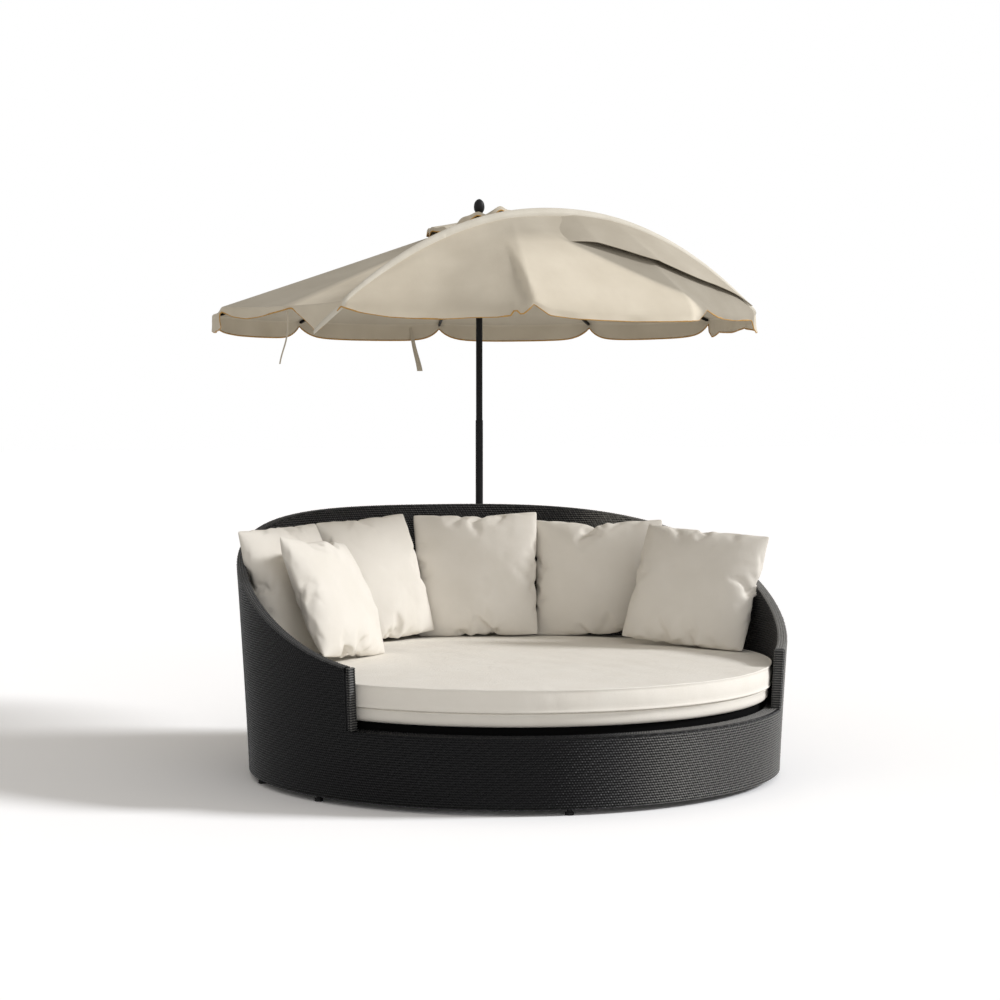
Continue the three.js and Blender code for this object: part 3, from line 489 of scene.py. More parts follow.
def baked(obj):
    """Applies the object's modifiers."""
    graph = bpy.context.evaluated_depsgraph_get()
    mesh = bpy.data.meshes.new_from_object(obj.evaluated_get(graph))
    obj.modifiers.clear()
    obj.data = mesh


def solid_sheet(obj, thickness, offset=-1.0):
    solid = obj.modifiers.new("cloth", "SOLIDIFY")
    solid.thickness = thickness
    solid.offset = offset
    solid.use_even_offset = False
    baked(obj)
    obj.data.shade_smooth()
    obj.data.set_sharp_from_angle(angle=radians(55))


def smooth_noise(points, scale, seed):
    """Smooth noise from a few waves, from -1 to 1 about."""
    rng = random.Random(seed)
    total = np.zeros(points.shape[:-1])
    for _ in range(7):
        way = np.array([rng.gauss(0, 1), rng.gauss(0, 1), rng.gauss(0, 1)])
        way *= rng.uniform(0.6, 1.5) * scale / np.linalg.norm(way)
        total += np.sin(points @ way + rng.uniform(0, 6.28))
    return total / 3.5


def lathe(profile, columns, first=-180):
    """The angles, radii and heights of a profile turned round the axis."""
    angle = np.linspace(first, first + 360, columns, endpoint=False)[:, None]
    radius, height = np.array(profile, dtype=float).T
    return angle, radius + 0 * angle, height + 0 * angle


# The woven skins

LATTICE = -180 + 360 / WEAVE_COLUMNS * np.arange(WEAVE_COLUMNS)


def relief(column, row):
    """The weave's height over a lattice of half cells: strands stand proud in a staggered pattern."""
    i, r = np.meshgrid(column, row, indexing="ij")
    proud = np.where((i + r // 2) % 2 == 0, 1.0, STRAND_UNDER)
    wander = 0.18 * np.sin(i * 1.7 + r * 2.3) + 0.14 * np.sin(i * 0.61 - r * 1.13)
    return np.where(r % 2 == 0, proud, STRAND_GAP) * (1 + wander)


def shade(lift):
    """The share of the relief for the strands' painted light: painted shade in the gaps, half where a strand is proud,
    more on the tops as painted highlight.
    """
    return np.clip((lift / WEAVE_DEPTH - STRAND_GAP) / (1 - STRAND_GAP), 0, 1) ** 0.55 / 2


def painted_sunlit_side(angle):
    """How much painted light the strands get round the bed: painted paler on its sunny right."""
    share = ramped(angle, -14, 16) * ramped(angle, 150, 115)
    return 0.42 + 1.58 * share**2 * (3 - 2 * share)


def outer_radius(height):
    share = np.maximum((height - SKIRT_GAP) / (BACK_HEIGHT - SKIRT_GAP), 0)
    return BASE_RADIUS + WALL_FLARE * share**FLARE_POWER


def wall_height(angle):
    away = ramped(np.abs(angle), ARM_ANGLE, 180)
    rise = 1 - (1 - away) ** RISE_SHARPNESS * (1 + RISE_LEAD * away)
    return ARM_HEIGHT + (BACK_HEIGHT - ARM_HEIGHT) * rise


def woven_wall():
    start = ARM_ANGLE + degrees((POST_WIDTH + POST_GROOVE) / BASE_RADIUS)
    right = np.nonzero(LATTICE >= start)[0]
    left = np.nonzero(LATTICE <= -start)[0]
    column = np.concatenate([right, left + WEAVE_COLUMNS])
    angle = LATTICE[column % WEAVE_COLUMNS]
    first = int(ceil((WALL_FOOT - SKIRT_GAP) / WEAVE_UP - 1e-6))
    row = np.arange(first, int((BACK_HEIGHT - TOP_ROUND - SKIRT_GAP) / WEAVE_UP) + 2)
    lattice = np.concatenate([[WALL_FOOT], SKIRT_GAP + WEAVE_UP * row])
    row = np.concatenate([[first], row])
    rows = len(row)
    shoulder = wall_height(angle)[:, None] - TOP_ROUND
    side = np.minimum(lattice, shoulder)
    kept = lattice - WEAVE_UP < shoulder - 1e-6
    # Across the wall's top: how far in and up each row lies, and the way in which its strands stand proud
    quarter = np.radians([22.5, 45, 67.5, 90])
    flat = WALL_THICKNESS - 2 * TOP_ROUND
    crown = [(TOP_ROUND * (1 - cos(a)), TOP_ROUND * sin(a), cos(a), sin(a)) for a in quarter]
    crown += [(TOP_ROUND + flat * share, TOP_ROUND, 0.0, 1.0) for share in (0.2, 0.4, 0.6, 0.8)]
    crown += [(WALL_THICKNESS - TOP_ROUND * (1 - cos(a)), TOP_ROUND * sin(a), -cos(a), sin(a))
              for a in quarter[::-1]]
    inward, rise, out_share, up_share = np.array(crown).T
    inner = rows + len(crown)
    radius = np.hstack([outer_radius(side), outer_radius(shoulder) - inward,
                        outer_radius(side[:, ::-1]) - WALL_THICKNESS])
    height = np.hstack([side, shoulder + rise, side[:, ::-1]])
    keep = np.hstack([kept, np.ones((len(angle), len(crown)), dtype=bool), kept[:, ::-1]])
    away = np.concatenate([np.ones(rows), out_share, -np.ones(rows)])
    up = np.concatenate([np.zeros(rows), up_share, np.zeros(rows)])
    over = np.arange(len(crown))
    lift = np.hstack([relief(column, row), 0.7 * relief(column, over), relief(column, row[::-1])]) * WEAVE_DEPTH
    lift[0] = lift[-1] = 0
    lift[:, 0] = lift[:, 1] = -0.5 * WEAVE_DEPTH
    points = ring_points(radius + away * lift, angle[:, None], height + up * lift)
    # Painted light: the strands are painted paler on the bed's sunny right.
    proud = shade(lift) * painted_sunlit_side(angle)[:, None]
    # Painted highlight: the strands across the wall's top are painted up to three times paler.
    proud[:, rows:inner] = np.minimum(3.0 * proud[:, rows:inner], 0.6)
    # Painted shade and light on the inner face: darker inside the arms, paler on the back.
    proud[:, inner:] *= np.interp(abs(angle), [90, 120, 135], [0.45, 0.6, 3.0])[:, None]
    obj = surface("woven_wall", points, WEAVE, "bed", "resin_weave", keep, turned_over=True, proud=proud)
    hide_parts("wall_woven_skin")


def woven_base():
    rim = RIM_LOW + RIM_ROUND * ramped(np.abs(LATTICE), ARM_ANGLE + 0.6, ARM_ANGLE + 0.2)
    rows = int((RIM_HEIGHT - SKIRT_GAP) / WEAVE_UP + 1e-6) + 1
    rings = []

    def add(ring_radius, z, out_share, up_share, k):
        rings.append((ring_radius + 0 * LATTICE, z + 0 * LATTICE, out_share, up_share, k))

    for j in range(rows):
        z = np.minimum(SKIRT_GAP + WEAVE_UP * j, RIM_HEIGHT - rim)
        add(outer_radius(z), z, 1.0, 0.0, j)
    corner = outer_radius(RIM_HEIGHT - rim)
    for turn in np.radians([0, 30, 60, 90]):
        add(corner - rim * (1 - cos(turn)), RIM_HEIGHT - rim * (1 - sin(turn)), cos(turn), sin(turn), rows)
    across = int((RIM_WIDTH - 0.01) / WEAVE_UP)
    lip = float(outer_radius(RIM_HEIGHT - 0.009)) - RIM_WIDTH
    for i in range(1, across + 1):
        share = i / across
        add((corner - rim) * (1 - share) + (lip + LIP_ROUND) * share, RIM_HEIGHT, 0.0, 1.0, i)
    for i, turn in enumerate(np.radians([30, 60, 90])):
        add(lip + LIP_ROUND * (1 - sin(turn)), RIM_HEIGHT - LIP_ROUND * (1 - cos(turn)), -sin(turn), cos(turn), i)
    for i in range(1, int(LIP_DEPTH / WEAVE_UP)):
        add(lip, RIM_HEIGHT - LIP_ROUND - WEAVE_UP * i, -1.0, 0.0, i)
    radius, height, away, up, row = (np.array(values) for values in zip(*rings))
    lift = relief(np.arange(WEAVE_COLUMNS), row) * WEAVE_DEPTH
    closed_in = np.abs(LATTICE) > ARM_ANGLE
    lift[np.ix_(closed_in, up > 0.9)] = 0
    lift[np.ix_(closed_in, row == rows)] = -0.5 * WEAVE_DEPTH
    radius = radius.T + away * lift
    height = height.T + up * lift
    inside = radius[:, :1] - SKIRT_THICKNESS
    radius = np.hstack([inside, inside, radius])
    height = np.hstack([height[:, :1] + SKIRT_TURN, height[:, :1], height])
    lift = np.hstack([lift[:, :1], lift[:, :1], lift])
    # Painted light: the strands are painted paler on the bed's sunny right.
    proud = shade(lift) * painted_sunlit_side(LATTICE)[:, None]
    # Painted highlight: the rim's top is painted paler.
    proud[:, rows + 2:rows + 6] *= 1.25
    obj = surface("woven_base", ring_points(radius, LATTICE[:, None], height), WEAVE, "bed", "resin_weave",
                  closed=True, turned_over=True, proud=proud)
    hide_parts("base_woven_skin")


def deck_edge():
    """A near black strip round the deck's edge, painted shade, that closes the gap to the lip."""
    angle, radius, height = lathe(DECK_STRIP + DECK_STRIP[:1], 180)
    points = ring_points(radius, angle, height)
    tidied(surface("deck_edge_strip", points, GAP_PAINTED_SHADE, "bed", "plywood", closed=True), MERGE)


def arm_posts():
    """A wrapped post closes each arm, with a groove between it and the woven side."""
    rows = int((ARM_HEIGHT - WALL_FOOT) / POST_STEP)
    step = np.arange(rows + 1)
    wave = np.cos(pi * step / 2)
    wrap = POST_WRAP * wave
    last = ARM_ANGLE + degrees(POST_WIDTH / BASE_RADIUS)
    for name, sign in (("arm_post_left", -1), ("arm_post_right", 1)):
        points = []
        for along, through in ((0, 0), (0, 1), (1, 1), (1, 0)):
            for turn in np.radians([0, 45, 90]):
                x, y = 1 - cos(turn), 1 - sin(turn)
                if along != through:
                    x, y = y, x
                inset = np.degrees((x * POST_ROUND - wrap) / BASE_RADIUS)
                angle = last - inset if along else ARM_ANGLE + inset
                z = WALL_FOOT + (wall_height(angle) - 0.001 - WALL_FOOT) * step / rows
                inward = y * POST_ROUND - wrap
                radius = outer_radius(z) - (WALL_THICKNESS - inward if through else inward)
                points.append(ring_points(radius, sign * angle, z))
        # Painted light on the posts' wraps: paler where a wrap stands proud, painted shade between.
        proud = np.tile(0.3 + 0.35 * np.maximum(wave, 0), len(points))
        tube(name, np.array(points), WEAVE, "bed", "resin_weave", proud=proud, far_first=True)


# The seat cushion

def seat_height(radius):
    top = SEAT_BOTTOM + SEAT_THICKNESS
    return top + SEAT_CROWN * (1 - (radius / (SEAT_RADIUS - SEAT_ROUND)) ** 2)


def seat_profile(top, welt, r, low_r):
    """Radius and height from the middle of the underside, round the piped seams, to the middle of the top."""
    under = [
        (0.0, SEAT_BOTTOM), (0.4, SEAT_BOTTOM), (low_r - 0.03, SEAT_BOTTOM), (low_r - 0.012, SEAT_BOTTOM + 0.001),
        (low_r - 0.004, SEAT_BOTTOM + 0.005), (low_r, SEAT_BOTTOM + 0.012),
    ]
    # Radius from the lower layer's side, height from the welt
    seam = [
        (0.001, -0.022), (0, -0.011), (0.002, -0.007), (0.003, -0.004), (0.001, -0.0015), (-0.004, -0.0005),
        (-0.006, 0.0015),
    ]
    # Radius from the upper layer's side, height from the welt, and then from the top
    side = [
        (-0.010, 0.002), (-0.004, 0.001), (-0.0005, 0.0025), (0, 0.0055), (-0.0015, 0.008), (-0.002, 0.012),
        (-0.0005, 0.022), (0.0005, 0.036),
    ]
    edge = [
        (-0.0005, -0.020), (-0.002, -0.012), (-0.0025, -0.0075), (-0.001, -0.005), (-0.0005, -0.0025),
        (-0.0025, -0.0005), (-0.0055, -0.0005), (-0.0075, -0.0022), (-0.012, -0.0015),
    ]
    profile = under + [(low_r + x, welt + z) for x, z in seam] + [(r + x, welt + z) for x, z in side]
    profile += [(r + x, top + z) for x, z in edge]
    profile += [(x, seat_height(x) - 0.002 * (x / r) ** 8) for x in (0.852, 0.84, 0.82, 0.8, 0.775, 0.75, 0.72)]
    return profile + [(x, seat_height(x)) for x in [*np.linspace(0.69, 0.03, 23), 0.0]]


def seat_cover():
    top, welt = SEAT_BOTTOM + SEAT_THICKNESS, SEAT_BOTTOM + LOWER_LAYER
    r, low_r = SEAT_RADIUS, SEAT_RADIUS - LOWER_INSET
    angle, radius, height = lathe(seat_profile(top, welt, r, low_r), 360)
    points = ring_points(radius, angle, height)
    side = ramped(height, welt + 0.006, welt + 0.018) * ramped(height, top - 0.008, top - 0.020) * (radius > r - 0.006)
    low_side = (radius > low_r - 0.006) & (height < welt - 0.008) & (height > SEAT_BOTTOM + 0.008)
    rng = random.Random(11)
    crease = np.zeros_like(angle)
    for _ in range(SEAT_CREASES):
        at, wide, deep = rng.uniform(-180, 180), rng.uniform(0.25, 1.1), rng.uniform(0.2, 1.0)
        crease += deep * np.exp(-(wrapped_to_half(angle - at) / wide) ** 2)
    radius -= (0.0016 * side + 0.0009 * low_side) * crease
    radius += 0.0012 * smooth_noise(points, 22.0, 3) * (side + low_side)
    on_top = ramped(height, top - 0.004, top - 0.001)
    height += on_top * 0.0011 * smooth_noise(points, 13.0, 5)
    height += on_top * 0.0006 * smooth_noise(points, 48.0, 9)
    height -= ramped(radius, 0.76, 0.85) * on_top * 0.0012 * crease
    obj = surface("seat_cushion_cover", ring_points(radius, angle, height), LINEN, "seat_cushion", "cushion_cloth",
                  closed=True, turned_over=True)
    tidied(obj, MERGE)
    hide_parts("seat_cushion")


# The pillows

def flat_case(width, height, seed):
    """Two squares of cloth sewn at the edge, a little apart in the middle, in the XZ plane."""
    rng = random.Random(seed)
    n = PILLOW_STEPS
    phases = [rng.uniform(0, 6.28) for _ in range(4)]
    points, index, faces = [], {}, []
    for side in (0, 1):
        for i in range(n + 1):
            for j in range(n + 1):
                if side and (i in (0, n) or j in (0, n)):
                    index[side, i, j] = index[0, i, j]
                    continue
                u, v = 2 * i / n - 1, 2 * j / n - 1
                puff = (1 - u**4) * (1 - v**4)
                wave = 0.004 * sin(9 * u + phases[0]) * sin(8 * v + phases[1])
                wave += 0.002 * sin(21 * u + phases[2]) * sin(19 * v + phases[3])
                y = (CASE_APART + wave) * puff * (1 if side else -1)
                index[side, i, j] = len(points)
                bow_x, bow_y = 1 + CASE_BOW * (1 - v * v), 1 + CASE_BOW * (1 - u * u)
                points.append((u * width / 2 * bow_x, y, v * height / 2 * bow_y))
        for i in range(n):
            for j in range(n):
                quad = [index[side, i, j], index[side, i + 1, j], index[side, i + 1, j + 1], index[side, i, j + 1]]
                faces.append(quad[::-1] if side else quad)
    return points, faces


def stuffed(cases):
    """Blows the pillow cases up with cloth simulation and applies the result."""
    scene = bpy.context.scene
    for obj in cases:
        cloth = obj.modifiers.new("stuffing", "CLOTH")
        for setting, value in STUFFING.items():
            setattr(cloth.settings, setting, value)
        cloth.settings.effector_weights.gravity = 0
        cloth.point_cache.frame_start = 1
        cloth.point_cache.frame_end = SIM_FRAMES
    for step in range(1, SIM_FRAMES + 1):
        scene.frame_set(step)
    for obj in cases:
        baked(obj)
    scene.frame_set(1)


def squared(points):
    """Draws a pillow's seams out towards straight lines, the lower one right onto the seat."""
    n = PILLOW_STEPS
    seam = np.arange(n + 1)
    low, high = points[seam * (n + 1)], points[seam * (n + 1) + n]
    left, right = points[seam], points[n * (n + 1) + seam]
    moved = points.copy()
    for edge, across, along, share, sign in (
            (low, 2, 0, 1.0, -1), (high, 2, 0, 0.6, 1), (left, 0, 2, 0.55, -1), (right, 0, 2, 0.55, 1)):
        order = np.argsort(edge[:, along])
        line = edge[order, along]
        straight = np.interp(line, line[[0, -1]], edge[order][[0, -1], across])
        gap = np.interp(points[:, along], line, straight - edge[order, across])
        span = abs(points[:, across]).max()
        near = np.clip(sign * points[:, across] / span + 0.1, 0, 1)
        moved[:, across] += share * gap * near**1.6
    return moved


def turned(points, axis, angle):
    """Points turned round an axis through the origin, in degrees."""
    c, s = cos(radians(angle)), sin(radians(angle))
    turns = {
        "X": [[1, 0, 0], [0, c, -s], [0, s, c]],
        "Y": [[c, 0, s], [0, 1, 0], [-s, 0, c]],
        "Z": [[c, -s, 0], [s, c, 0], [0, 0, 1]],
    }
    return points @ np.array(turns[axis]).T


def dress_pillow(obj, name, width, height):
    """Brings a stuffed case to its size, puts it in its place and sets it on the seat."""
    mesh = obj.data
    points = np.array([v.co for v in mesh.vertices])
    points = squared(points)
    low, high = points.min(0), points.max(0)
    size = np.array([width, PILLOW_THICKNESS, height])
    points = (points - (low + high) / 2) * (size / (high - low))
    out_share, around, faces_way, lean, roll, _, _ = PILLOWS[name]
    points[:, 2] += height / 2
    points = turned(points, "Y", roll)
    points = turned(points, "X", -lean)
    points = turned(points, "Z", faces_way - 180)
    points[:, :2] += polar(out_share * INNER_RADIUS, around, 0)[:2]
    box_low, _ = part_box(name)
    points[:, 2] += box_low.z - points[:, 2].min() - 0.006
    seat = seat_height(np.minimum(np.hypot(points[:, 0], points[:, 1]), SEAT_RADIUS - SEAT_ROUND)) + 0.0015
    points[:, 2] = np.maximum(points[:, 2], seat)
    for vertex, place in zip(mesh.vertices, points):
        vertex.co = place
    smoother = obj.modifiers.new("soften", "SUBSURF")
    smoother.levels = smoother.render_levels = 1
    baked(obj)
    obj.data.shade_smooth()
    obj.data.materials.append(PILLOW_LINEN_PAINTED_SHADE)
    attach(obj, name)
    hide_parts(name)


def pillows():
    sizes = {name: (row[5] * PILLOW_SIZE, row[6] * PILLOW_SIZE) for name, row in PILLOWS.items()}
    cases = []
    for k, (name, (width, height)) in enumerate(sizes.items()):
        cases.append(linked(name + "_cover", *flat_case(width * CASE_SPARE, height * CASE_SPARE, CASE_SEED + k)))
        cases[-1].data.update()
    stuffed(cases)
    for case, (name, size) in zip(cases, sizes.items()):
        dress_pillow(case, name, *size)


# The canopy

def from_gore_middle(angle):
    turns = (angle - FIRST_RIB) / (2 * HALF_GORE)
    return (turns - np.floor(turns) - 0.5) * 2 * HALF_GORE


def edge_radius(angle):
    middle = np.radians(from_gore_middle(angle))
    return CANOPY_RADIUS * cos(radians(HALF_GORE)) / np.cos(middle)


def arch_height(along):
    return HOOD_RISE * (1 - np.minimum(np.abs(along) / BOW_HALF, 1) ** HOOD_POWER)


def cone_height(radius, angle):
    middle = from_gore_middle(angle)
    out = radius * np.cos(np.radians(middle)) / cos(radians(HALF_GORE))
    sag = CANOPY_SAG * (1 - (middle / HALF_GORE) ** 2) * (radius / CANOPY_RADIUS)
    return CANOPY_TOP - FALL * out - sag


def edge_at(angle):
    """The canopy's edge in the direction of an angle: radius and height."""
    edge = float(edge_radius(angle))
    return edge, float(cone_height(edge, angle))


def in_hood(angle):
    return abs(angle - HOOD_MIDDLE) < HOOD_HALF - 1e-6


def fold_at(angle):
    """The bow's crest in the direction of an angle: radius and height."""
    off = radians(min(max(angle - HOOD_MIDDLE, -HOOD_HALF), HOOD_HALF))
    return BOW_DISTANCE / cos(off), CANOPY_EDGE + float(arch_height(BOW_DISTANCE * tan(off)))


def hem_depth(angle):
    """How far the hem hangs below the canopy's edge."""
    wrapped = wrapped_to_half(angle)
    if HEM[0][0] < wrapped < HEM[-1][0]:
        return float(np.interp(wrapped, *zip(*HEM)))
    scallop = (abs(from_gore_middle(angle)) / HALF_GORE) ** NOTCH_POWER
    return float(VALANCE_DEPTH - (VALANCE_DEPTH - NOTCH_DEPTH) * scallop)


def hem_sway(angle):
    """How far the hem swings out or in, most of all at the loose corner on the right."""
    sway = 0.0035 * sin(radians(angle * 21)) + 0.002 * sin(radians(angle * 47 + 40))
    if 61.0 < angle < 68:
        sway += 0.022 * sin(pi * (angle - 61) / 7)
    return sway


def cloth_column(angle, hooded):
    """Radii and heights of one column of the cloth, from the pole out to the edge and down to the hem."""
    edge, rim = edge_at(angle)
    hood = in_hood(angle)
    if hood:
        fold, crest = fold_at(angle)
        bend = min(fold, edge)
        inner = np.linspace(CLOTH_INNER, bend, INNER_ROWS + 1)
        belly = 0.006 * np.sin(np.linspace(0, pi, INNER_ROWS + 1))
        heights = CANOPY_TOP + (crest - CANOPY_TOP) * inner / bend - belly
        turn = min(SOFT_TURN, 0.35 * (edge - bend))
        step = SLEEVE_STEP * min(1, (edge - bend) / 0.12)
    else:
        # The rows of a piece beside the hood change over to the hood's own
        beside = min(abs(abs(angle - HOOD_MIDDLE) - HOOD_HALF) / HALF_GORE, 1)
        split = 1 - 0.5 * beside if hooded else 0.5
        bend = CLOTH_INNER + (edge - CLOTH_INNER) * split
        inner = np.linspace(CLOTH_INNER, bend, INNER_ROWS + 1)
        heights = cone_height(inner, angle)
        turn = min(SHARP_TURN, 0.5 * (edge - bend))
    top = heights[-1]
    length = max(hypot(edge - bend, top - rim), 1e-6)
    share = np.concatenate([[0.03], np.linspace(0.09, 1, OUTER_ROWS - 1)]) * (1 - turn / length)
    outer = bend + (edge - bend) * share
    if hood:
        full = 0.02 * np.sin(np.pi * share) * min(1, (edge - bend) / 0.2) - step * (1 - share)
        fall = top + (rim - top) * share + full
    else:
        fall = cone_height(outer, angle)
    depth = hem_depth(angle)
    down = min(turn, 0.6 * depth)
    start, corner = np.array([outer[-1], fall[-1]]), np.array([edge, rim])
    end = np.array([edge + 0.001, rim - down])
    t = np.linspace(0, 1, TURN_ROWS + 1)[1:, None]
    curve = (1 - t) ** 2 * start + 2 * t * (1 - t) * corner + t**2 * end
    drop = np.linspace(0, 1, HEM_ROWS + 1)[1:]
    hem_radius = end[0] + hem_sway(angle) * drop**1.5
    hem_height = end[1] - (depth - down) * drop
    return (np.concatenate([inner, outer, curve[:, 0], hem_radius]),
            np.concatenate([heights, fall, curve[:, 1], hem_height]))


def front_folds(angles, radii, heights):
    """The loose folds in the hood's front, as a push out from the cloth, and the painted light and shade on the cloth.
    """
    push, painted_light_scale = np.zeros_like(heights), np.ones_like(heights)
    hem = HEM_ROWS + TURN_ROWS
    for i, angle in enumerate(angles):
        # Painted light on the hem's rows.
        painted_light_scale[i, -hem:] = HEM_PAINTED_LIGHT
        if not in_hood(angle):
            wrapped = wrapped_to_half(angle)
            if -110 < wrapped < 0:  # the cone left of the hood, with painted shade and painted light beside the bow
                painted_light_scale[i, :-hem] = 0.77 + 0.53 * ramped(wrapped, -64.5, -59.5)
            continue
        edge, fold = float(edge_radius(angle)), fold_at(angle)[0]
        if edge - fold < 0.02:
            continue
        share = np.clip((radii[i] - fold) / (edge - fold), 0, 1)  # from the bow down to the edge
        share[:INNER_ROWS + 1] = 0
        # One long crease down the middle: a panel to its right, a valley and a swell to its left
        away = angle - (-12.8 + (share - 0.58) / 0.63 * 3.2)
        panel = ramped(away, 0, 0.9) * ramped(away, 34, 0)
        valley = np.where(away < 0, np.exp(-((away + 1.0) / 6.5) ** 2), np.exp(-(away / 0.8) ** 2))
        swell = np.exp(-((angle + 21) / 5.0) ** 2)
        push[i] = ramped(share, 0.33, 0.78) ** 1.3 * (0.012 * panel - 0.004 * valley + 0.006 * swell)
        # The panel's right border, past which the cloth sinks into a shaded triangle
        line = 3.6 + (share - 0.40) / 0.67 * 28.5
        sunk = ramped(angle - line, 0, 9) * ramped(share, 0.1, 0.3)
        push[i] -= 0.010 * sunk * ramped(angle, 57, 49) * ramped(share, 1.15, 0.90)
        push[i, -HEM_ROWS:] *= np.linspace(1, 0.5, HEM_ROWS)
        # Painted light and shade: a paler panel right of the crease, painted shade left of it and in the sunk
        # triangle, paler to the left, darker up high to the right.
        inside = ramped(away, 0, 0.6) * ramped(angle, line, line - 2)
        dark = np.exp(-(np.minimum(away, 0) / 7.0) ** 2) * (away < 0)
        triangle = ramped(angle, line, line + 2) * ramped(share, 0.3, 0.4)
        left = ramped(angle, -20, -36)
        lower = 1.08 + ramped(share, 0.30, 0.60) * (0.14 * inside - 0.07 * dark) - 0.44 * triangle + 0.3 * left
        upper = 1.10 - 0.24 * ramped(angle, -20, -8) + 0.2 * left
        below = ramped(share, 0.26, 0.40)
        painted_light_scale[i] = upper * (1 - below) + lower * below
    return push, painted_light_scale


def round_pole(radius, angle, height):
    """Points round the pole's axis as an array."""
    return ring_points(radius, angle, height) + np.array([POLE.x, POLE.y, 0])


def rib_angle(k):
    return FIRST_RIB + 2 * HALF_GORE * (k - 1)


def piece_angles(k, columns=PIECE_COLUMNS):
    return np.linspace(rib_angle(k) - HALF_GORE, rib_angle(k) + HALF_GORE, columns + 1)


def fold_with_rib(obj):
    """Gives the piece, which rides on its rib, its own copy of its mesh."""
    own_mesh(obj)


def rib_cloth(name, points, k, thickness, offset=-1.0, stands_for=None, keep=None, painted_light_scale=None):
    """A piece of canvas from a grid of points that rides on a rib."""
    obj = surface(name, points, CANVAS, f"rib_{k}", "canopy_cloth", keep, painted_light_scale=painted_light_scale)
    solid_sheet(obj, thickness, offset)
    if stands_for:
        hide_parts(stands_for)
    fold_with_rib(obj)
    return obj


def binding(name, path, k, wide=0.0022, tall=0.0028, look=PIPING, slot="canopy_cloth"):
    """A small rounded band along a path that rides on a rib, such as the sewn binding of a hem."""
    ahead = np.gradient(path, axis=0)
    ahead /= np.linalg.norm(ahead, axis=1)[:, None]
    side = np.cross(ahead, UP)
    side /= np.linalg.norm(side, axis=1)[:, None]
    rise = np.cross(side, ahead)
    turns = np.linspace(0, 2 * pi, 8, endpoint=False)[:, None, None]
    obj = tube(name, path + side * np.cos(turns) * wide + rise * np.sin(turns) * tall, look, f"rib_{k}", slot)
    fold_with_rib(obj)
    return obj


def canopy_piece(k):
    angles = piece_angles(k)
    columns = [cloth_column(a, k in (HOOD_RIBS[0], HOOD_RIBS[-1])) for a in angles]
    radii, heights = np.array(columns).transpose(1, 0, 2)
    angles_out = angles[:, None] + 0 * radii
    way = np.stack([angles_out * 0.12, radii * 4.0, 0 * radii], axis=-1)
    calm = np.sin(np.pi * np.clip(radii / CANOPY_RADIUS, 0, 1)) ** 0.7
    heights = heights + 0.0028 * smooth_noise(way, 1.0, 40) * calm
    push, painted_light_scale = front_folds(angles, radii, heights)
    radii = radii + 0.6 * push
    heights = heights + 0.8 * push
    points = round_pole(radii, angles[:, None], heights)
    keep = np.ones(radii.shape, dtype=bool)
    keep[:, 1:] = np.hypot(np.diff(radii, axis=1), np.diff(heights, axis=1)) > 1e-4
    obj = rib_cloth(f"canopy_cloth_{k}", points, k, CLOTH_THICKNESS, stands_for=f"canopy_panel_{k}", keep=keep,
                    painted_light_scale=painted_light_scale)
    hem = binding(f"hem_binding_{k}", points[:, -1], k)


def sleeve_loop(at, inward, down, out):
    """One section of the sleeve over the bow."""
    face = unit(UP + out * 0.6)
    return [at + inward * a + down * b + face * c + UP * d for a, b, c, d in SLEEVE]


def foot_tail(first):
    """The sleeve's loose end below the bow's left foot."""
    middle = first.mean(axis=0)
    end = round_pole(*TAIL_END)
    tail = []
    for share in np.arange(TAIL_LOOPS) / TAIL_LOOPS:
        tail.append(end + (middle - end) * share + (first - middle) * (0.55 + 0.45 * share))
    return tail


def arch_band(k):
    """The sleeve over the hood's bow, on the part of the arch that belongs to a rib."""
    loops = []
    for a in piece_angles(k):
        if not in_hood(a) or abs(a - HOOD_MIDDLE) >= HOOD_HALF - 0.4:
            continue
        fold, crest = fold_at(a)
        edge, rim = edge_at(a)
        at = round_pole(fold, a, crest)
        loops.append(sleeve_loop(at, unit(round_pole(0.0, a, CANOPY_TOP) - at), unit(round_pole(edge, a, rim) - at),
                                 unit(round_pole(fold + 0.1, a, crest) - at)))
    if k == HOOD_RIBS[0]:
        loops = foot_tail(np.array(loops[0])) + loops
    obj = tube(f"arch_sleeve_{k}", np.array(loops).transpose(1, 0, 2), BAND_PAINTED_LIGHT, f"rib_{k}", "canopy_cloth")
    fold_with_rib(obj)


def hood_flap():
    """A loose layer that falls from the sleeve over the right half of the hood's front."""
    for k, low, high in FLAP_PIECES:
        angles = np.arange(low, high + 0.01, 0.75)
        angles[-1] = high
        radii, heights = np.zeros((2, len(angles), FLAP_ROWS + 1))
        for i, a in enumerate(angles):
            fold, crest = fold_at(a)
            edge, rim = edge_at(a)
            end = float(np.interp(a + np.linspace(-3, 3, 7), *zip(*SLIT)).mean())
            share = np.linspace(0, end, FLAP_ROWS + 1)
            full = 0.02 * np.sin(np.pi * share) * min(1, (edge - fold) / 0.2)
            start = min(1, max(0, (a - 3) / 9))
            lift = -0.004 * (1 - start) ** 2 + 0.0125 * start * (share / end) ** 1.3
            lift = lift - 1.2 * SLEEVE_STEP * (1 - share) * (1 - start)
            radii[i] = fold + (edge - fold) * share + 0.6 * lift
            heights[i] = crest + (rim - crest) * share + full + 0.8 * lift
        points = round_pole(radii, angles[:, None], heights)
        # The flap carries painted shade.
        obj = rib_cloth(f"hood_flap_{k}", points, k, CLOTH_THICKNESS, 1.0, painted_light_scale=np.full(radii.shape, FLAP_PAINTED_SHADE))


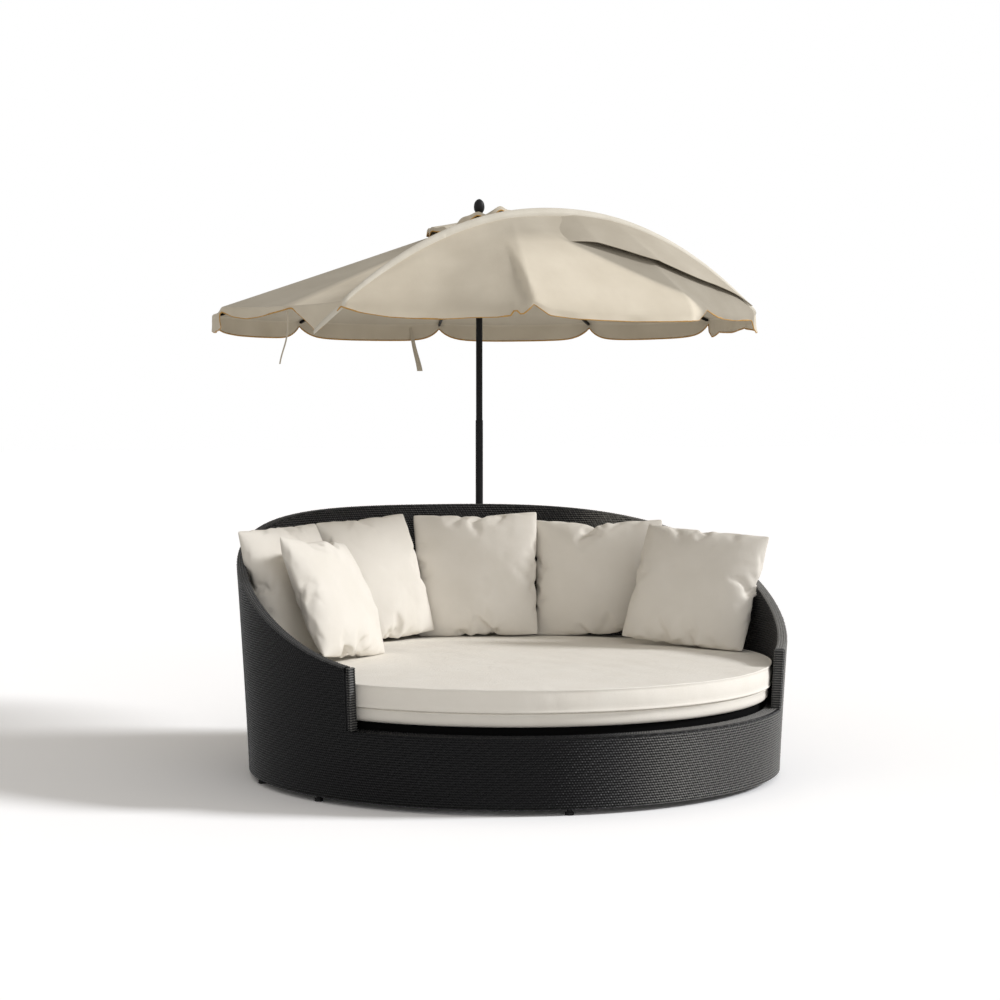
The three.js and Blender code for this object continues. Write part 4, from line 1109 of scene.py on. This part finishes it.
def bow():
    """The bow in the hood, in four pieces that ride on their ribs inside the sleeve."""
    a = radians(HOOD_MIDDLE)
    middle = np.array([POLE.x, POLE.y, 0]) + np.array([sin(a), -cos(a), 0]) * BOW_DISTANCE
    along_way = np.array([cos(a), sin(a), 0])
    for k in HOOD_RIBS:
        ends = np.clip(rib_angle(k) - HOOD_MIDDLE + np.array([-HALF_GORE, HALF_GORE]), -HOOD_HALF, HOOD_HALF)
        reach = np.clip(BOW_DISTANCE * np.tan(np.radians(ends)), BOW_TRIM - BOW_HALF, BOW_HALF - BOW_TRIM)
        along = np.linspace(*reach, 21)[:, None]
        path = middle + along_way * along + UP * (CANOPY_EDGE + arch_height(along) - BOW_DROP)
        obj = binding(f"bow_{k}", path, k, BOW_THICKNESS, BOW_THICKNESS, METAL, "coated_aluminium")
        if k == HOOD_RIBS[0]:
            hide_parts("hood_bow")


def cap_rest(radius, angle):
    """The height of the cloth under the vent cap."""
    wrapped = wrapped_to_half(angle - HOOD_MIDDLE) + HOOD_MIDDLE
    if in_hood(wrapped):
        fold, crest = fold_at(wrapped)
        return CANOPY_TOP + (crest - CANOPY_TOP) * radius / fold
    return float(cone_height(radius, wrapped))


def vent_cap():
    """The ruffled cap over the middle, in ten pieces that ride on their ribs."""
    share = np.linspace(0, 1, 15)[None, :]
    for k in range(1, RIB_COUNT + 1):
        angle = piece_angles(k, 20)[:, None]
        radii = CAP_INNER + (CAP_RADIUS - CAP_INNER) * share + 0 * angle
        base = np.array([[cap_rest(r, a) for r in row] for row, a in zip(radii, angle[:, 0])])
        ruffle = 0.010 * np.sin(np.radians(angle * 9 + 20)) + 0.006 * np.sin(np.radians(angle * 17 + 75))
        heights = base + (0.012 + 0.013 * share + (ruffle + 0.004) * share**1.8)
        swing = 0.006 * np.cos(np.radians(angle * 9 + 20)) * share**3
        hem = heights[:, -1:] - 0.016 + 0.004 * np.sin(np.radians(angle * 13))
        radii = np.hstack([radii + swing, radii[:, -1:] + swing[:, -1:] + 0.002])
        points = round_pole(radii, angle, np.hstack([heights, hem]))
        obj = rib_cloth(f"vent_cap_{k}", points, k, CAP_CLOTH, stands_for="vent_cap" if k == 1 else None)
        hem_band = binding(f"vent_cap_binding_{k}", points[:, -1], k)


def finial():
    """The moulded finial on the pole: a flange, a short neck and a rounded body."""
    low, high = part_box("finial")
    foot = high.z - FINIAL_SHOWN
    profile = [(FINIAL_STEM, low.z), (FINIAL_STEM, foot)]
    profile += [(radius, foot + FINIAL_SHOWN * share) for share, radius in FINIAL]
    angle, radii, heights = lathe(profile, 48, 0)
    obj = tube("finial_cap", round_pole(radii, angle, heights), PLASTIC, "upper_pole", "moulded_plastic", crisp=35)
    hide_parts("finial")


def strap(name, node_name, k, angle, width, curl, lean, start=0.0):
    """A tie strap: a flat ribbon that hangs from the valance's inside, and widens and twists on its way down."""
    low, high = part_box(node_name)
    middle = (low + high) / 2
    a = radians(angle)
    across, out = np.array([cos(a), sin(a), 0]), np.array([sin(a), -cos(a), 0])
    points = []
    for s in np.linspace(0, 1, 25):
        aside = start * (1 - s) + lean * s + curl * sin(5.2 * s) * s
        centre = np.array([middle.x, middle.y, high.z - (high.z - low.z) * s])
        centre = centre + across * aside - out * 0.006 * sin(pi * s)
        half = (across * cos(0.4 * s) + out * sin(0.4 * s)) * width * (0.5 + 0.5 * s) / 2
        points.append([centre - half, centre - half / 3, centre + half / 3, centre + half])
    points = np.array(points)
    obj = rib_cloth(name, points, k, STRAP_THICKNESS, 0.0, stands_for=node_name)


def canopy():
    for k in range(1, RIB_COUNT + 1):
        canopy_piece(k)
    for k in HOOD_RIBS:
        arch_band(k)
    hood_flap()
    bow()
    vent_cap()
    finial()
    strap("strap_left", "tie_strap_1", 1, FIRST_RIB - 0.9 * HALF_GORE, 0.012, 0.012, -0.03)
    strap("strap_right", "tie_strap_2", 7, rib_angle(7) + 0.25 * HALF_GORE, 0.024, 0.004, 0.012, 0.050)


# What the part keeps from its solids

def paint_solids():
    looks = {"base_frame": METAL, "wall_frame": METAL, "seat_deck": PLYWOOD_PAINTED_SHADE}
    for k in range(1, RIB_COUNT + 1):
        looks[f"rib_{k}"] = METAL
        looks[f"stretcher_{k}"] = METAL
    for name in ("pole_socket", "pole_bracket", "lower_pole", "upper_pole", "runner_catch_button"):
        looks[name] = PAINTED
    for name in ("clamp_knob", "hub", "runner", *[f"foot_{i}" for i in range(1, 6)]):
        looks[name] = PLASTIC
    for name, look in looks.items():
        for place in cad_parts[name].material_slots:
            place.link = "OBJECT"
            place.material = look


# The studio

def shown_apart(owner, plain, shown, output):
    """Gives one shader to the light, and shows another to the camera, in mirrors and through glass."""
    path = node(owner, "LightPath").outputs
    first = node(owner, "Math", path["Is Camera Ray"], path["Is Glossy Ray"], operation="MAXIMUM")
    seen = node(owner, "Math", first.outputs["Value"], path["Is Transmission Ray"], operation="MAXIMUM")
    mix = node(owner, "MixShader", seen.outputs["Value"], plain, shown)
    node(owner, output, mix.outputs["Shader"])


def studio():
    scene = bpy.context.scene
    camera = bpy.data.objects.new("camera", bpy.data.cameras.new("camera"))
    camera.data.lens = CAMERA_LENS
    camera.data.sensor_width = 36
    camera.location = CAMERA_PLACE
    camera.rotation_euler = [radians(t) for t in CAMERA_TURN]
    scene.collection.objects.link(camera)
    scene.camera = camera

    look = bpy.data.materials.new("studio_floor")
    look.use_nodes = True
    look.node_tree.nodes.clear()
    plain = node(look, "BsdfDiffuse", Color=FLOOR_COLOR).outputs["BSDF"]
    shown = node(look, "BsdfDiffuse", Color=FLOOR_SHOWN).outputs["BSDF"]
    glow = node(look, "Emission", Color=(1, 1, 1, 1), Strength=FLOOR_GLOW).outputs["Emission"]
    shown_apart(look, plain, node(look, "AddShader", shown, glow).outputs["Shader"], "OutputMaterial")
    corners = [(-FLOOR_REACH, -FLOOR_REACH, 0), (FLOOR_REACH, -FLOOR_REACH, 0),
               (FLOOR_REACH, FLOOR_REACH, 0), (-FLOOR_REACH, FLOOR_REACH, 0)]
    floor = linked("studio_floor", corners, [(0, 1, 2, 3)])
    floor.data.materials.append(look)

    world = bpy.data.worlds.new("studio")
    scene.world = world
    world.use_nodes = True
    world.node_tree.nodes.clear()
    fill = node(world, "Background", Color=WORLD_COLOR, Strength=WORLD_FILL).outputs["Background"]
    back = node(world, "Background", Color=(1, 1, 1, 1), Strength=1.0).outputs["Background"]
    shown_apart(world, fill, back, "OutputWorld")

    for name, azimuth, elevation, strength, width in LAMPS:
        sun = bpy.data.objects.new(name, bpy.data.lights.new(name, "SUN"))
        sun.data.energy = strength
        sun.data.angle = radians(width)
        sun.data.color = SUN_COLOR
        towards = polar(cos(radians(elevation)), azimuth, sin(radians(elevation)))
        sun.rotation_euler = towards.to_track_quat("Z", "Y").to_euler()
        scene.collection.objects.link(sun)
    scene.view_settings.view_transform = "Standard"


studio()
woven_wall()
woven_base()
deck_edge()
arm_posts()
seat_cover()
pillows()
canopy()
paint_solids()
